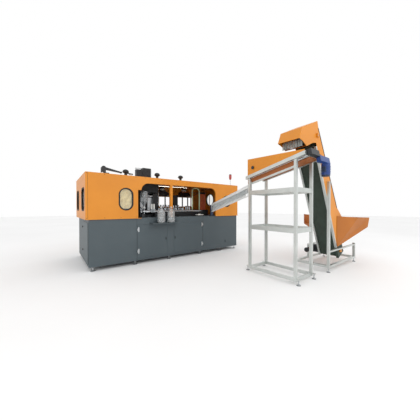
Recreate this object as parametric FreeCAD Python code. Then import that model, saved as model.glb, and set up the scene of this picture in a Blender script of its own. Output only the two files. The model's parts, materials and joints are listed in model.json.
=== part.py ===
# Two-step blow moulding line: machine, preform chute, unscrambler on its stand,
# and hopper-fed elevator.  Millimetres, +Z up, +X along the machine front,
# +Y from the front of the machine to its back.
import FreeCAD, Part
import math
import os

V = FreeCAD.Vector
os.makedirs("parts", exist_ok=True)

# ---------------------------------------------------------------- driving sizes
MACHINE_L = 4280.0            # grey cabinet length
MACHINE_W = 1940.0            # grey cabinet depth
FOOT_H = 90.0                 # floor to the underside of every footed frame
SPLIT_Z = 1108.0              # top of the cabinet deck, bottom of the orange panels
ROOF_Z = 2100.0
SHEET = 20.0                  # folded cabinet panels
PANEL = 40.0                  # framed orange panels
OVER_LEFT = 60.0              # orange panels standing out past the cabinet
OVER_RIGHT = 40.0
OVER_FRONT = 28.0
OVER_BACK = 28.0
FIT = 0.05                    # radial running fit of every turning or sliding round pair
GAP = 0.3                     # seat between pieces that do not turn
DOOR_GAP = 4.0
LIP_Y = -3300.0               # near edge of the hopper lip
LIP_X = 5870.0                # far end of the hopper lip

X = V(1, 0, 0)
Y = V(0, 1, 0)
Z = V(0, 0, 1)
pieces = {}


# ---------------------------------------------------------------- shape helpers
def box(x0, x1, y0, y1, z0, z1):
    return Part.makeBox(x1 - x0, y1 - y0, z1 - z0, V(x0, y0, z0))


def rod(start, end, radius):
    axis = V(*end) - V(*start)
    return Part.makeCylinder(radius, axis.Length, V(*start), axis)


def prism(points, step):
    wire = Part.makePolygon([V(*p) for p in points] + [V(*points[0])])
    return Part.Face(wire).extrude(V(*step))


def prism_xz(points, y0, y1):
    return prism([(x, y0, z) for x, z in points], (0, y1 - y0, 0))


def prism_yz(points, x0, x1):
    return prism([(x0, y, z) for y, z in points], (x1 - x0, 0, 0))


def round_edges(shape, along, radius, keep=None):
    edges = []
    for edge in shape.Edges:
        if edge.Curve.TypeId != "Part::GeomLine":
            continue
        if edge.Curve.Direction.cross(along).Length > 0.001:
            continue
        if keep is None or keep(edge.CenterOfMass):
            edges.append(edge)
    return shape.makeFillet(radius, edges)


def fuse(shapes):
    whole = shapes[0]
    for shape in shapes[1:]:
        whole = whole.fuse(shape)
    return whole.removeSplitter()


def cut(shape, tools):
    for tool in tools:
        shape = shape.cut(tool)
    return shape


def save(node, *solids):
    pieces[node] = solids[0] if len(solids) == 1 else Part.makeCompound(list(solids))


def lathe(profile, x, y, z=0.0):
    wire = Part.makePolygon([V(r, 0, h) for r, h in profile] + [V(profile[0][0], 0, profile[0][1])])
    return Part.Face(wire).revolve(V(0, 0, 0), Z, 360).translated(V(x, y, z))


def window(centre, width, height, radius, along, half):
    # Rounded opening through a wall that faces along X or along Y.
    u, w, z = centre
    if along is Y:
        blank = box(u - width / 2, u + width / 2, w - half, w + half, z - height / 2, z + height / 2)
    else:
        blank = box(u - half, u + half, w - width / 2, w + width / 2, z - height / 2, z + height / 2)
    return round_edges(blank, along, radius)


# ---------------------------------------------------------------- lower cabinet
DOOR_Z0 = 130.0
DOOR_Z1 = 945.0
LEFT_DOOR = (1000.0, 1763.0)
RIGHT_DOOR = (1957.0, 2890.0)

cabinet = box(0, MACHINE_L, 0, MACHINE_W, FOOT_H, SPLIT_Z)
inner_x = (SHEET, MACHINE_L - SHEET)
inner_y = (SHEET, MACHINE_W - SHEET)
cabinet = cabinet.cut(box(*inner_x, *inner_y, FOOT_H + SHEET, SPLIT_Z - SHEET))
for x0, x1 in (LEFT_DOOR, RIGHT_DOOR):
    cabinet = cabinet.cut(box(x0, x1, -1, SHEET + 1, DOOR_Z0, DOOR_Z1))

# Ledge welded across the front under the working bay.
LEDGE = (1300.0, 2050.0, -230.0, 960.0, 976.0)
ledge = box(LEDGE[0], LEDGE[1], LEDGE[2], 1, LEDGE[3], LEDGE[4])
ledge_rib = box(LEDGE[0], LEDGE[1], -10, 1, LEDGE[3], 1040)
save("lower_cabinet", fuse([cabinet, ledge, ledge_rib]))

for node, (x0, x1) in (("left_door", LEFT_DOOR), ("right_door", RIGHT_DOOR)):
    leaf = box(x0 + DOOR_GAP, x1 - DOOR_GAP, 0, SHEET, DOOR_Z0 + DOOR_GAP, DOOR_Z1 - DOOR_GAP)
    save(node, leaf)

# Hinges: pin and end knuckles on the cabinet, middle knuckle on the door.
PIN_R = 4.0
KNUCKLE_R = 9.0
HINGE_Y = -12.0
HINGE_H = 50.0                # half the height of a hinge
LEFT_HINGE_Z = (310.0, 830.0)
RIGHT_HINGE_Z = (300.0, 868.0)
LEFT_AXIS = LEFT_DOOR[0]
RIGHT_AXIS = RIGHT_DOOR[1]


def fixed_half(x, side, z):
    pin = rod((x, HINGE_Y, z - HINGE_H), (x, HINGE_Y, z + HINGE_H), PIN_R)
    low = rod((x, HINGE_Y, z - HINGE_H), (x, HINGE_Y, z - HINGE_H / 2 - 0.5), KNUCKLE_R)
    high = rod((x, HINGE_Y, z + HINGE_H / 2 + 0.5), (x, HINGE_Y, z + HINGE_H), KNUCKLE_R)
    xs = sorted((x, x - side * 38.0))
    plates = []
    for z0, z1 in ((z - HINGE_H, z - HINGE_H / 2 - 0.5), (z + HINGE_H / 2 + 0.5, z + HINGE_H)):
        plates.append(box(xs[0], xs[1], HINGE_Y + 4, 0, z0, z1))
    trim = box(min(x, x + side * 20), max(x, x + side * 20), HINGE_Y + 3, 1, z - 60, z + 60)
    plates = [plate.cut(trim) for plate in plates]
    return fuse([pin, low, high] + plates)


def door_half(x, side, z):
    knuckle = rod((x, HINGE_Y, z - HINGE_H / 2 + 0.5), (x, HINGE_Y, z + HINGE_H / 2 - 0.5), KNUCKLE_R)
    xs = sorted((x + side * (DOOR_GAP + 2), x + side * 42.0))
    web = box(xs[0], xs[1], HINGE_Y, 0, z - HINGE_H / 2 + 0.5, z + HINGE_H / 2 - 0.5)
    xs = sorted((x + side * (KNUCKLE_R + 2), x + side * 42.0))
    leaf = box(xs[0], xs[1], HINGE_Y + 4, 0, z - HINGE_H - 6, z + HINGE_H + 6)
    bore = rod((x, HINGE_Y, z - 60), (x, HINGE_Y, z + 60), PIN_R + FIT)
    return fuse([knuckle, web, leaf]).cut(bore)


left_fixed = [fixed_half(LEFT_AXIS, 1, z) for z in LEFT_HINGE_Z]
right_fixed = [fixed_half(RIGHT_AXIS, -1, z) for z in RIGHT_HINGE_Z]
save("fixed_hinge_halves", *left_fixed, *right_fixed)
save("left_door_hinge_leaves", *[door_half(LEFT_AXIS, 1, z) for z in LEFT_HINGE_Z])
save("right_door_hinge_leaves", *[door_half(RIGHT_AXIS, -1, z) for z in RIGHT_HINGE_Z])

# Lift-off access panel on the left end.
END_Y = (60.0, 940.0)
END_Z = (150.0, 1030.0)
save("end_access_panel", box(-12, 0, END_Y[0], END_Y[1], END_Z[0], END_Z[1]))

# ---------------------------------------------------------------- orange enclosure
FRONT_Y = -OVER_FRONT
BACK_Y = MACHINE_W + OVER_BACK
LEFT_X = -OVER_LEFT
RIGHT_X = MACHINE_L + OVER_RIGHT
BAY_X = (1087.0, 3364.0)
BAY_TOP = 1950.0
BAY_STEP_X = 1008.0
BAY_STEP_Z = 1778.0
BAY_R = 180.0
CORNER_R = 30.0
STADIUM = (300.0, 500.0, 149.0)
STADIUM_AT = (740.0, 1550.0)
PORTHOLE = (340.0, 340.0, 168.0)
PORTHOLE_AT = (MACHINE_L - 470.0, 1560.0)
END_WINDOW_Y = (400.0, MACHINE_W - 440.0)
LEFT_END_WINDOW = (500.0, 500.0, 120.0)
LEFT_END_Z = 1540.0
RIGHT_END_WINDOW = (456.0, 456.0, 210.0)
RIGHT_END_Z = 1670.0
REAR_OPENING_X = (2365.0, MACHINE_L - 505.0)
REAR_OPENING_Z = (1410.0, 1750.0)
GASKET = 18.0
LIP = 5.0

fascia_mid = FRONT_Y + PANEL / 2
fascia = box(LEFT_X, RIGHT_X, FRONT_Y, FRONT_Y + PANEL, SPLIT_Z, ROOF_Z)
fascia = round_edges(fascia, Z, CORNER_R, lambda c: c.y < FRONT_Y + 1)
bay = box(BAY_X[0], BAY_X[1], FRONT_Y - 1, FRONT_Y + PANEL + 1, SPLIT_Z - 500, BAY_TOP)
bay = round_edges(bay, Y, BAY_R, lambda c: c.z > BAY_TOP - 5)
step = box(BAY_STEP_X, BAY_X[0] + 5, FRONT_Y - 1, FRONT_Y + PANEL + 1, SPLIT_Z - 1, BAY_STEP_Z)
fascia = cut(fascia, [bay, step])
for (x, z), size in ((STADIUM_AT, STADIUM), (PORTHOLE_AT, PORTHOLE)):
    fascia = fascia.cut(window((x, fascia_mid, z), *size, Y, PANEL))
PILLAR_X = (1840.0, 1910.0)
pillar = box(PILLAR_X[0], PILLAR_X[1], FRONT_Y + 2, FRONT_Y + 62, SPLIT_Z, BAY_TOP + 20)
save("front_fascia", fuse([fascia, pillar]))


def end_wall(x0, shelf_x, size, window_z):
    wall = box(x0, x0 + PANEL, FRONT_Y + PANEL, BACK_Y - PANEL, SPLIT_Z, ROOF_Z)
    for y in END_WINDOW_Y:
        wall = wall.cut(window((x0 + PANEL / 2, y, window_z), *size, X, PANEL))
    shelf = (min(x0, shelf_x), max(x0 + PANEL, shelf_x))
    foot = box(*shelf, FRONT_Y + PANEL, BACK_Y - PANEL, SPLIT_Z, SPLIT_Z + SHEET)
    return fuse([wall, foot])


save("left_end_wall", end_wall(LEFT_X, 30.0, LEFT_END_WINDOW, LEFT_END_Z))
save("right_end_wall", end_wall(RIGHT_X - PANEL, MACHINE_L - 30.0, RIGHT_END_WINDOW, RIGHT_END_Z))

rear = box(LEFT_X, RIGHT_X, BACK_Y - PANEL, BACK_Y, SPLIT_Z, ROOF_Z)
save("rear_wall", rear.cut(box(*REAR_OPENING_X, BACK_Y - 100, BACK_Y + 50, *REAR_OPENING_Z)))

MULLION_W = 36.0
MULLION_N = 5
pitch = (REAR_OPENING_X[1] - REAR_OPENING_X[0]) / (MULLION_N + 1)
mullions = []
for i in range(MULLION_N):
    x = REAR_OPENING_X[0] + pitch * (i + 1)
    mullions.append(box(x - MULLION_W / 2, x + MULLION_W / 2, BACK_Y - 34, BACK_Y - 6, *REAR_OPENING_Z))
save("rear_mullions", *mullions)

ROOF_T = 24.0
roof_x = (LEFT_X + PANEL, RIGHT_X - PANEL)
save("roof_panel", box(*roof_x, FRONT_Y + PANEL, BACK_Y - PANEL, ROOF_Z - ROOF_T, ROOF_Z))


def gasket_and_pane(centre, size, along):
    width, height, radius = size
    half = PANEL / 2
    hole = width - 2 * GAP, height - 2 * GAP
    ring = window(centre, *hole, radius - GAP, along, half)
    lip = window(centre, width + 20, height + 20, radius + 10, along, half + LIP)
    lip = lip.cut(window(centre, width + 40, height + 40, radius + 20, along, half))
    inner = (width - 2 * GASKET, height - 2 * GASKET)
    ring = fuse([ring, lip])
    ring = ring.cut(window(centre, *inner, radius - GASKET, along, half + LIP + 2))
    pane = window(centre, inner[0] - 2 * GAP, inner[1] - 2 * GAP, radius - GASKET - GAP, along, 3.0)
    return ring, pane


seats = [((x, fascia_mid, z), size, Y) for (x, z), size in ((STADIUM_AT, STADIUM), (PORTHOLE_AT, PORTHOLE))]
seats += [((LEFT_X + PANEL / 2, y, LEFT_END_Z), LEFT_END_WINDOW, X) for y in END_WINDOW_Y]
seats += [((RIGHT_X - PANEL / 2, y, RIGHT_END_Z), RIGHT_END_WINDOW, X) for y in END_WINDOW_Y]
pairs = [gasket_and_pane(*seat) for seat in seats]
save("window_gaskets", *[ring for ring, pane in pairs])
save("window_panes", *[pane for ring, pane in pairs])

# Extraction hoods hanging from the roof over the rear opening.
HOOD_Z = (1772.0, 1960.0)
HOOD_X = (2385.0, 3240.0)
HOOD_Y = 1730.0


def hood(x):
    def rect(w, d, z):
        corners = ((-w, -d), (w, -d), (w, d), (-w, d), (-w, -d))
        return Part.makePolygon([V(x + a, HOOD_Y + b, z) for a, b in corners])

    shell = Part.makeLoft([rect(275, 150, HOOD_Z[0]), rect(90, 90, HOOD_Z[1])], True)
    inner = Part.makeLoft([rect(269, 144, HOOD_Z[0] - 1), rect(83, 83, HOOD_Z[1] - 7)], True)
    neck = rod((x, HOOD_Y, HOOD_Z[1] - 3), (x, HOOD_Y, ROOF_Z - ROOF_T), 70)
    return fuse([shell.cut(inner), neck])


save("extraction_hoods", *[hood(x) for x in HOOD_X])

# ---------------------------------------------------------------- blow station
CLAMP_X = (1120.0, 1700.0)
CLAMP_Y = (520.0, 1120.0)
PLATE_T = 50.0
CLAMP_BASE_Z = 1170.0
CLAMP_TOP_Z = 1740.0
BRIDGE_T = 30.0
BAR_R = 25.0
BAR_Y = (580.0, 1060.0)
BAR_Z = (1235.0, 1675.0)
PLATEN_T = 50.0
MOULD_T = 125.0
MOULD_GAP = 0.5
MOULD_STROKE = 64.0
CAVITY_R = 92.0

# Shaft along the front of the bay that the gripper carriage rides on.
SHAFT_Y = 240.0
SHAFT_Z = 1262.0
SHAFT_R = 15.0
SHAFT_X = (1150.0, 3000.0)

clamp_mid_x = sum(CLAMP_X) / 2
clamp_mid_y = sum(CLAMP_Y) / 2
left_in = CLAMP_X[0] + PLATE_T
right_in = CLAMP_X[1] - PLATE_T
frame_parts = [
    box(CLAMP_X[0], CLAMP_X[1], CLAMP_Y[0], CLAMP_Y[1], SPLIT_Z, CLAMP_BASE_Z),
    box(CLAMP_X[0], left_in, CLAMP_Y[0], CLAMP_Y[1], CLAMP_BASE_Z, CLAMP_TOP_Z),
    box(right_in, CLAMP_X[1], CLAMP_Y[0], CLAMP_Y[1], CLAMP_BASE_Z, CLAMP_TOP_Z),
    box(CLAMP_X[0], CLAMP_X[1], clamp_mid_y - 110, clamp_mid_y + 110, CLAMP_TOP_Z, CLAMP_TOP_Z + BRIDGE_T),
    box(SHAFT_X[0] - 30, SHAFT_X[0], SHAFT_Y - 30, SHAFT_Y + 30, SPLIT_Z, SHAFT_Z + 30),
    box(CLAMP_X[0], SHAFT_X[0], SHAFT_Y, CLAMP_Y[0] + 1, SPLIT_Z, SPLIT_Z + 16),
]
ROD_R = 9.0


def mid_rod(z0, z1, radius):
    return rod((clamp_mid_x, clamp_mid_y, z0), (clamp_mid_x, clamp_mid_y, z1), radius)


save("clamp_frame", fuse(frame_parts).cut(mid_rod(CLAMP_TOP_Z - 5, CLAMP_TOP_Z + 60, ROD_R + 8)))

bars = [rod((left_in, y, z), (right_in, y, z), BAR_R) for y in BAR_Y for z in BAR_Z]
save("tie_bars", *bars)

mould_z = (CLAMP_BASE_Z + 110, CLAMP_TOP_Z - 100)
mould_y = (clamp_mid_y - 190, clamp_mid_y + 190)
cavity = mid_rod(mould_z[0] + 40, mould_z[1] - 70, CAVITY_R)
cavity = fuse([cavity, mid_rod(mould_z[1] - 71, mould_z[1] + 1, 24)])
platen_y = (CLAMP_Y[0] + 10, CLAMP_Y[1] - 10)
for node, side in (("left", -1), ("right", 1)):
    face = clamp_mid_x + side * (MOULD_GAP + MOULD_STROKE)
    back = face + side * MOULD_T
    rear_face = back + side * PLATEN_T
    half = box(min(face, back), max(face, back), mould_y[0], mould_y[1], mould_z[0], mould_z[1])
    half = half.cut(cavity.translated(V(side * (MOULD_GAP + MOULD_STROKE), 0, 0)))
    platen_x = sorted((back, rear_face))
    platen = box(*platen_x, *platen_y, CLAMP_BASE_Z + 5, CLAMP_TOP_Z - 5)
    for y in BAR_Y:
        for z in BAR_Z:
            platen = platen.cut(rod((CLAMP_X[0], y, z), (CLAMP_X[1], y, z), BAR_R + FIT))
    save(node + "_mould_half", half)
    save(node + "_platen", platen)

# Stretch carriage on two columns above the mould.
COLUMN_R = 20.0
COLUMN_X = (1240.0, 1580.0)
COLUMN_TOP = 2060.0
CARRIAGE_Z = (1960.0, 2000.0)
STRETCH_STROKE = 170.0
bridge_top = CLAMP_TOP_Z + BRIDGE_T
columns = [rod((x, clamp_mid_y, bridge_top), (x, clamp_mid_y, COLUMN_TOP), COLUMN_R) for x in COLUMN_X]
save("stretch_columns", *columns)
carriage = box(COLUMN_X[0] - 45, COLUMN_X[1] + 45, clamp_mid_y - 45, clamp_mid_y + 45, *CARRIAGE_Z)
for x in COLUMN_X:
    carriage = carriage.cut(rod((x, clamp_mid_y, 1700), (x, clamp_mid_y, 2100), COLUMN_R + FIT))
save("stretch_carriage", carriage)
save("stretch_rod", mid_rod(CLAMP_TOP_Z - 20, CARRIAGE_Z[0], ROD_R))

# ---------------------------------------------------------------- preform bed and transfer
BED = (1780.0, 3440.0, 480.0, 1260.0)
BED_Z = 1290.0
SPIN_R = 14.0
WHEEL_X = 2850.0
WHEEL_Y = 110.0
WHEEL_Z = 1142.0
LAMP_Y = 560.0
LAMP_X = 3202.0
LAMP_N = 5
LAMP_R = 11.0
LAMP_PITCH = 44.0
oven_x = (LAMP_X - 22, LAMP_X + (LAMP_N - 1) * LAMP_PITCH + 34)
bed = fuse([
    box(BED[0], BED[1], BED[2], BED[3], SPLIT_Z, BED_Z),
    box(BED[0] + 120, BED[1] - 760, BED[2] + 260, BED[3] - 60, BED_Z, BED_Z + 60),
    box(2530, 2672, 1120, 1236, BED_Z + 59, 1766),
    box(SHAFT_X[1], SHAFT_X[1] + 30, SHAFT_Y - 30, SHAFT_Y + 30, SPLIT_Z, SHAFT_Z + 30),
    box(SHAFT_X[1], SHAFT_X[1] + 30, SHAFT_Y, BED[2] + 1, SPLIT_Z, SPLIT_Z + 40),
    box(WHEEL_X - 100, WHEEL_X + 100, WHEEL_Y - 80, WHEEL_Y + 70, SPLIT_Z, WHEEL_Z - 6),
    box(WHEEL_X - 60, WHEEL_X + 60, WHEEL_Y, BED[2] + 1, SPLIT_Z, SPLIT_Z + 20),
    box(*oven_x, LAMP_Y + 40, LAMP_Y + 52, BED_Z - 1, 1860),
    box(*oven_x, LAMP_Y - 30, LAMP_Y + 41, 1848, 1860),
])
bed = bed.cut(rod((WHEEL_X, WHEEL_Y, SPLIT_Z + 4), (WHEEL_X, WHEEL_Y, SPLIT_Z + 90), SPIN_R + FIT))
save("heating_bed", bed)

SPINDLE_N = 10
SPINDLE_R = 16.0
SPINDLE = [(0, 0), (24, 0), (24, 18), (SPINDLE_R, 22), (SPINDLE_R, 62), (11, 74), (0, 74)]
spindles = [lathe(SPINDLE, BED[0] + 90 + i * 76.2, BED[2] + 90, BED_Z) for i in range(SPINDLE_N)]

ARCH_X = (2881.0, 3150.0)
ARCH_Y = 560.0
ARCH_TOP = 1975.0
TUBE_R = 17.0
bend = 110.0
left_leg = rod((ARCH_X[0], ARCH_Y, BED_Z), (ARCH_X[0], ARCH_Y, ARCH_TOP - bend), TUBE_R)
right_leg = rod((ARCH_X[1], ARCH_Y, BED_Z), (ARCH_X[1], ARCH_Y, ARCH_TOP - bend), TUBE_R)
top_bar = rod((ARCH_X[0] + bend, ARCH_Y, ARCH_TOP), (ARCH_X[1] - bend, ARCH_Y, ARCH_TOP), TUBE_R)
arch_yz = (ARCH_Y - 60, ARCH_Y + 60, ARCH_TOP - bend, ARCH_TOP + 60)
left_bend = Part.makeTorus(bend, TUBE_R, V(ARCH_X[0] + bend, ARCH_Y, ARCH_TOP - bend), Y)
left_bend = left_bend.common(box(ARCH_X[0] - 50, ARCH_X[0] + bend, *arch_yz))
right_bend = Part.makeTorus(bend, TUBE_R, V(ARCH_X[1] - bend, ARCH_Y, ARCH_TOP - bend), Y)
right_bend = right_bend.common(box(ARCH_X[1] - bend, ARCH_X[1] + 50, *arch_yz))
save("preform_guide_arch", fuse([left_leg, left_bend, top_bar, right_bend, right_leg]))

lamp_x = [LAMP_X + i * LAMP_PITCH for i in range(LAMP_N)]
save("heating_lamps", *[rod((x, LAMP_Y, BED_Z), (x, LAMP_Y, 1800), LAMP_R) for x in lamp_x])

GRIPPER_X = 1470.0
GRIPPER_TRAVEL = 480.0
save("transfer_shaft", rod((SHAFT_X[0], SHAFT_Y, SHAFT_Z), (SHAFT_X[1], SHAFT_Y, SHAFT_Z), SHAFT_R))
slider = box(GRIPPER_X - 60, GRIPPER_X + 60, SHAFT_Y - 28, SHAFT_Y + 28, SHAFT_Z - 30, SHAFT_Z + 60)
slider = slider.cut(rod((1000, SHAFT_Y, SHAFT_Z), (3300, SHAFT_Y, SHAFT_Z), SHAFT_R + FIT))
save("gripper_carriage", slider)
jaws = []
for x in (GRIPPER_X - 44, GRIPPER_X + 16):
    jaws.append(box(x, x + 28, SHAFT_Y - 20, SHAFT_Y + 20, SHAFT_Z + 60, SHAFT_Z + 190))
save("gripper_jaws", *jaws)

# ---------------------------------------------------------------- infeed wheel
wheel = lathe([(0, 0), (120, 0), (120, 14), (40, 14), (40, 30), (0, 30)], WHEEL_X, WHEEL_Y, WHEEL_Z)
for i in range(12):
    a = math.radians(30 * i)
    x = WHEEL_X + 120 * math.cos(a)
    y = WHEEL_Y + 120 * math.sin(a)
    wheel = wheel.cut(rod((x, y, WHEEL_Z - 1), (x, y, WHEEL_Z + 20), 14))
wheel = fuse([wheel, rod((WHEEL_X, WHEEL_Y, SPLIT_Z + 6), (WHEEL_X, WHEEL_Y, WHEEL_Z + 1), SPIN_R)])
save("star_wheel", wheel)

# ---------------------------------------------------------------- bottles
BOTTLE = [
    (0, 0), (86, 0), (98, 14), (98, 250), (88, 288), (56, 334), (30, 362), (22, 372), (22, 404), (0, 404),
]
BOTTLE_X = (1545.0, 1813.0)
BOTTLE_Y = -122.0


def bottle(x, y, z):
    body = lathe(BOTTLE, x, y, z)
    inside = [(max(r - 2.0, 0), h + 2.0) for r, h in BOTTLE[:-2]]
    inside += [(20, 410), (0, 410)]
    return body.cut(lathe(inside, x, y, z))


HUNG_X = 1280.0
HUNG_Y = 350.0
HUNG_Z = 1790.0
hung = bottle(0, 0, 0)
hung.rotate(V(0, 0, 0), X, 180)
hung = hung.translated(V(HUNG_X, HUNG_Y, HUNG_Z))
save("bottles", *[bottle(x, BOTTLE_Y, LEDGE[4]) for x in BOTTLE_X], hung)
neck_z = HUNG_Z - 404.0
spindles.append(fuse([
    rod((HUNG_X, HUNG_Y, SPLIT_Z), (HUNG_X, HUNG_Y, neck_z - 12), 16),
    rod((HUNG_X, HUNG_Y, neck_z - 12), (HUNG_X, HUNG_Y, neck_z), 34),
    rod((HUNG_X, HUNG_Y, SPLIT_Z), (HUNG_X, HUNG_Y, SPLIT_Z + 14), 50),
]))
save("spindles", *spindles)

# ---------------------------------------------------------------- roof equipment
VENT_X = (870.0, 1700.0, 2430.0)
VENT_Y = 500.0
vents = []
for x in VENT_X:
    vents.append(lathe([
        (0, 0), (52, 0), (52, 8), (34, 14), (34, 120), (74, 150), (78, 168), (60, 205), (24, 222), (0, 222),
    ], x, VENT_Y, ROOF_Z))
save("roof_ventilators", *vents)

ARM_X = 365.0
ARM_Y = 500.0
ARM_Z = 2300.0
ARM_PIN_R = 14.0
arm_base = fuse([
    box(ARM_X - 10, ARM_X + 115, ARM_Y - 60, ARM_Y + 60, ROOF_Z, ROOF_Z + 90),
    box(ARM_X - 46, ARM_X + 46, ARM_Y - 60, ARM_Y - 36, ROOF_Z, ARM_Z),
    box(ARM_X - 46, ARM_X + 46, ARM_Y + 36, ARM_Y + 60, ROOF_Z, ARM_Z),
    rod((ARM_X, ARM_Y - 60, ARM_Z), (ARM_X, ARM_Y - 36, ARM_Z), 46),
    rod((ARM_X, ARM_Y + 36, ARM_Z), (ARM_X, ARM_Y + 60, ARM_Z), 46),
    rod((ARM_X, ARM_Y - 60, ARM_Z), (ARM_X, ARM_Y + 60, ARM_Z), ARM_PIN_R),
])
save("roof_arm_base", arm_base)
ARM_END = (760.0, 2232.0)
arm_side = [
    (ARM_X, ARM_Z + 34),
    (ARM_END[0], ARM_END[1] + 16),
    (ARM_END[0], ARM_END[1] - 16),
    (ARM_X, ARM_Z - 34),
]
arm = fuse([
    prism_xz(arm_side, ARM_Y - 20, ARM_Y + 20),
    rod((ARM_X, ARM_Y - 34, ARM_Z), (ARM_X, ARM_Y + 34, ARM_Z), 42),
    rod((ARM_END[0], ARM_Y - 26, ARM_END[1]), (ARM_END[0], ARM_Y + 26, ARM_END[1]), 22),
])
save("roof_arm", arm.cut(rod((ARM_X, ARM_Y - 100, ARM_Z), (ARM_X, ARM_Y + 100, ARM_Z), ARM_PIN_R + FIT)))

VALVE_X = (1278.0, 1491.0)
valve = [
    box(VALVE_X[0], VALVE_X[1], 420, 600, ROOF_Z, 2404),
    box(1122, VALVE_X[0], 440, 580, ROOF_Z + 10, 2350),
    box(930, 1122, 470, 550, ROOF_Z, 2160),
]
for i in range(7):
    z = ROOF_Z + 60 + i * 34
    valve.append(box(VALVE_X[0] - 6, VALVE_X[1] + 10, 410, 610, z, z + 12))
save("roof_valve_box", fuse(valve))

BEACON_X = MACHINE_L - 170.0
BEACON_Y = 120.0
save("beacon_pole", fuse([
    rod((BEACON_X, BEACON_Y, ROOF_Z), (BEACON_X, BEACON_Y, ROOF_Z + 8), 30),
    rod((BEACON_X, BEACON_Y, ROOF_Z), (BEACON_X, BEACON_Y, 2300), 9),
]))
BEACON = [(0, 0), (28, 0), (44, 60), (44, 150), (30, 176), (0, 180)]
save("beacon_lamp", lathe(BEACON, BEACON_X, BEACON_Y, 2300))

# ---------------------------------------------------------------- unscrambler stand
LEG = 50.0
STAND_X = (2750.0, 3300.0)
STAND_Y = (-1990.0, -3050.0)
RAIL_LOW = (-1900.0, 2030.0)
RAIL_HIGH = (-3240.0, 2310.0)
RAIL_H = 65.0
RAIL_W = 50.0
slope = math.atan2(RAIL_HIGH[1] - RAIL_LOW[1], RAIL_LOW[0] - RAIL_HIGH[0])
rise = math.tan(slope)
drop = RAIL_H / math.cos(slope)


def rail_top(y):
    return RAIL_LOW[1] + (RAIL_LOW[0] - y) * rise


OUTSET = 60.0
legs = []
stand_feet = []
for x in STAND_X:
    for y in STAND_Y:
        y0 = y - LEG / 2
        y1 = y + LEG / 2
        points = [(y0, 50), (y1, 50), (y1, rail_top(y1) - drop), (y0, rail_top(y0) - drop)]
        leg = prism_yz(points, x - LEG / 2, x + LEG / 2)
        s = 1 if y == STAND_Y[0] else -1
        heel = sorted((y, y + s * (LEG / 2 + OUTSET)))
        legs.append(fuse([leg, box(x - LEG / 2, x + LEG / 2, heel[0], heel[1], FOOT_H, FOOT_H + 12)]))
        stand_feet.append((x, y + s * (LEG / 2 + OUTSET - 26)))
save("stand_legs", *legs)

BAR_T = 40.0
bars = []
for z0, z1 in ((50.0, 110.0), (898.0, 984.0), (1630.0, 1714.0)):
    for x in STAND_X:
        bars.append(box(x - BAR_T / 2, x + BAR_T / 2, STAND_Y[1] + LEG / 2, STAND_Y[0] - LEG / 2, z0, z1))
    for y in STAND_Y:
        bars.append(box(STAND_X[0] + LEG / 2, STAND_X[1] - LEG / 2, y - BAR_T / 2, y + BAR_T / 2, z0, z1))
save("stand_bars", *bars)

# ---------------------------------------------------------------- unscrambler
frame = []
for x in (STAND_X[0] - LEG / 2, STAND_X[1]):
    points = [RAIL_LOW, RAIL_HIGH, (RAIL_HIGH[0], RAIL_HIGH[1] - drop), (RAIL_LOW[0], RAIL_LOW[1] - drop)]
    frame.append(prism_yz(points, x - 20, x + RAIL_W - 20))
near_in = STAND_X[0] - LEG / 2 - 20 + RAIL_W
far_in = STAND_X[1] - 20
ROLL_R = 42.0
ROLL_X = (near_in + 52.0, near_in + 52.0 + 2 * ROLL_R + 32.0)
STUB_R = 12.0
along = V(0, -math.cos(slope), math.sin(slope))
lift = V(0, math.sin(slope), math.cos(slope))
START = V(0, RAIL_LOW[0], RAIL_LOW[1])
RUN = math.hypot(RAIL_HIGH[0] - RAIL_LOW[0], RAIL_HIGH[1] - RAIL_LOW[1])


def on_slope(x, s, h):
    # Point at x, s along the incline from its low end, h above the rail tops.
    return V(x, 0, 0) + START + along * s + lift * h


def slope_box(x0, x1, s0, s1, h0, h1):
    pts = [on_slope(x0, s, h) for s, h in ((s0, h0), (s1, h0), (s1, h1), (s0, h1))]
    return Part.Face(Part.makePolygon(pts + [pts[0]])).extrude(V(x1 - x0, 0, 0))


def slope_rod(x, s0, s1, h, radius):
    return Part.makeCylinder(radius, s1 - s0, on_slope(x, s0, h), along)


ROLL_H = -14.0
END_T = 14.0
end_plates = []
for s0 in (30.0, RUN - 30.0 - END_T):
    plate = slope_box(near_in, far_in, s0, s0 + END_T, -RAIL_H + 6, 20)
    for x in ROLL_X:
        plate = plate.cut(slope_rod(x, s0 - 5, s0 + END_T + 5, ROLL_H, STUB_R + FIT))
    end_plates.append(plate)
tie = box(STAND_X[1] + 25, 3660, -3130, -3080, 2225, 2275)
save("unscrambler_frame", fuse(frame + end_plates + [tie]))
for node, x in (("near_roller", ROLL_X[0]), ("far_roller", ROLL_X[1])):
    body = slope_rod(x, 30 + END_T + 1, RUN - 30 - END_T - 1, ROLL_H, ROLL_R)
    stub = slope_rod(x, 22, RUN - 4, ROLL_H, STUB_R)
    save(node, fuse([body, stub]))

tray_x = ROLL_X[1] + ROLL_R + 8
tray = fuse([
    slope_box(tray_x, far_in, 30 + END_T, RUN - 30 - END_T, -RAIL_H + 10, -RAIL_H + 16),
    slope_box(tray_x, tray_x + 6, 30 + END_T, RUN - 30 - END_T, -RAIL_H + 10, -6),
])
save("unscrambler_tray", tray)
GUARD_T = 6.0
guard = [(-1960, rail_top(-1960)), (-1960, 2386), (-3230, 2330), (-3230, rail_top(-3230))]
outer_near = STAND_X[0] - LEG / 2 - 20
outer_far = STAND_X[1] - 20 + RAIL_W
save(
    "unscrambler_guards",
    prism_yz(guard, outer_near, outer_near + GUARD_T),
    prism_yz(guard, outer_far - GUARD_T, outer_far),
)

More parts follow.
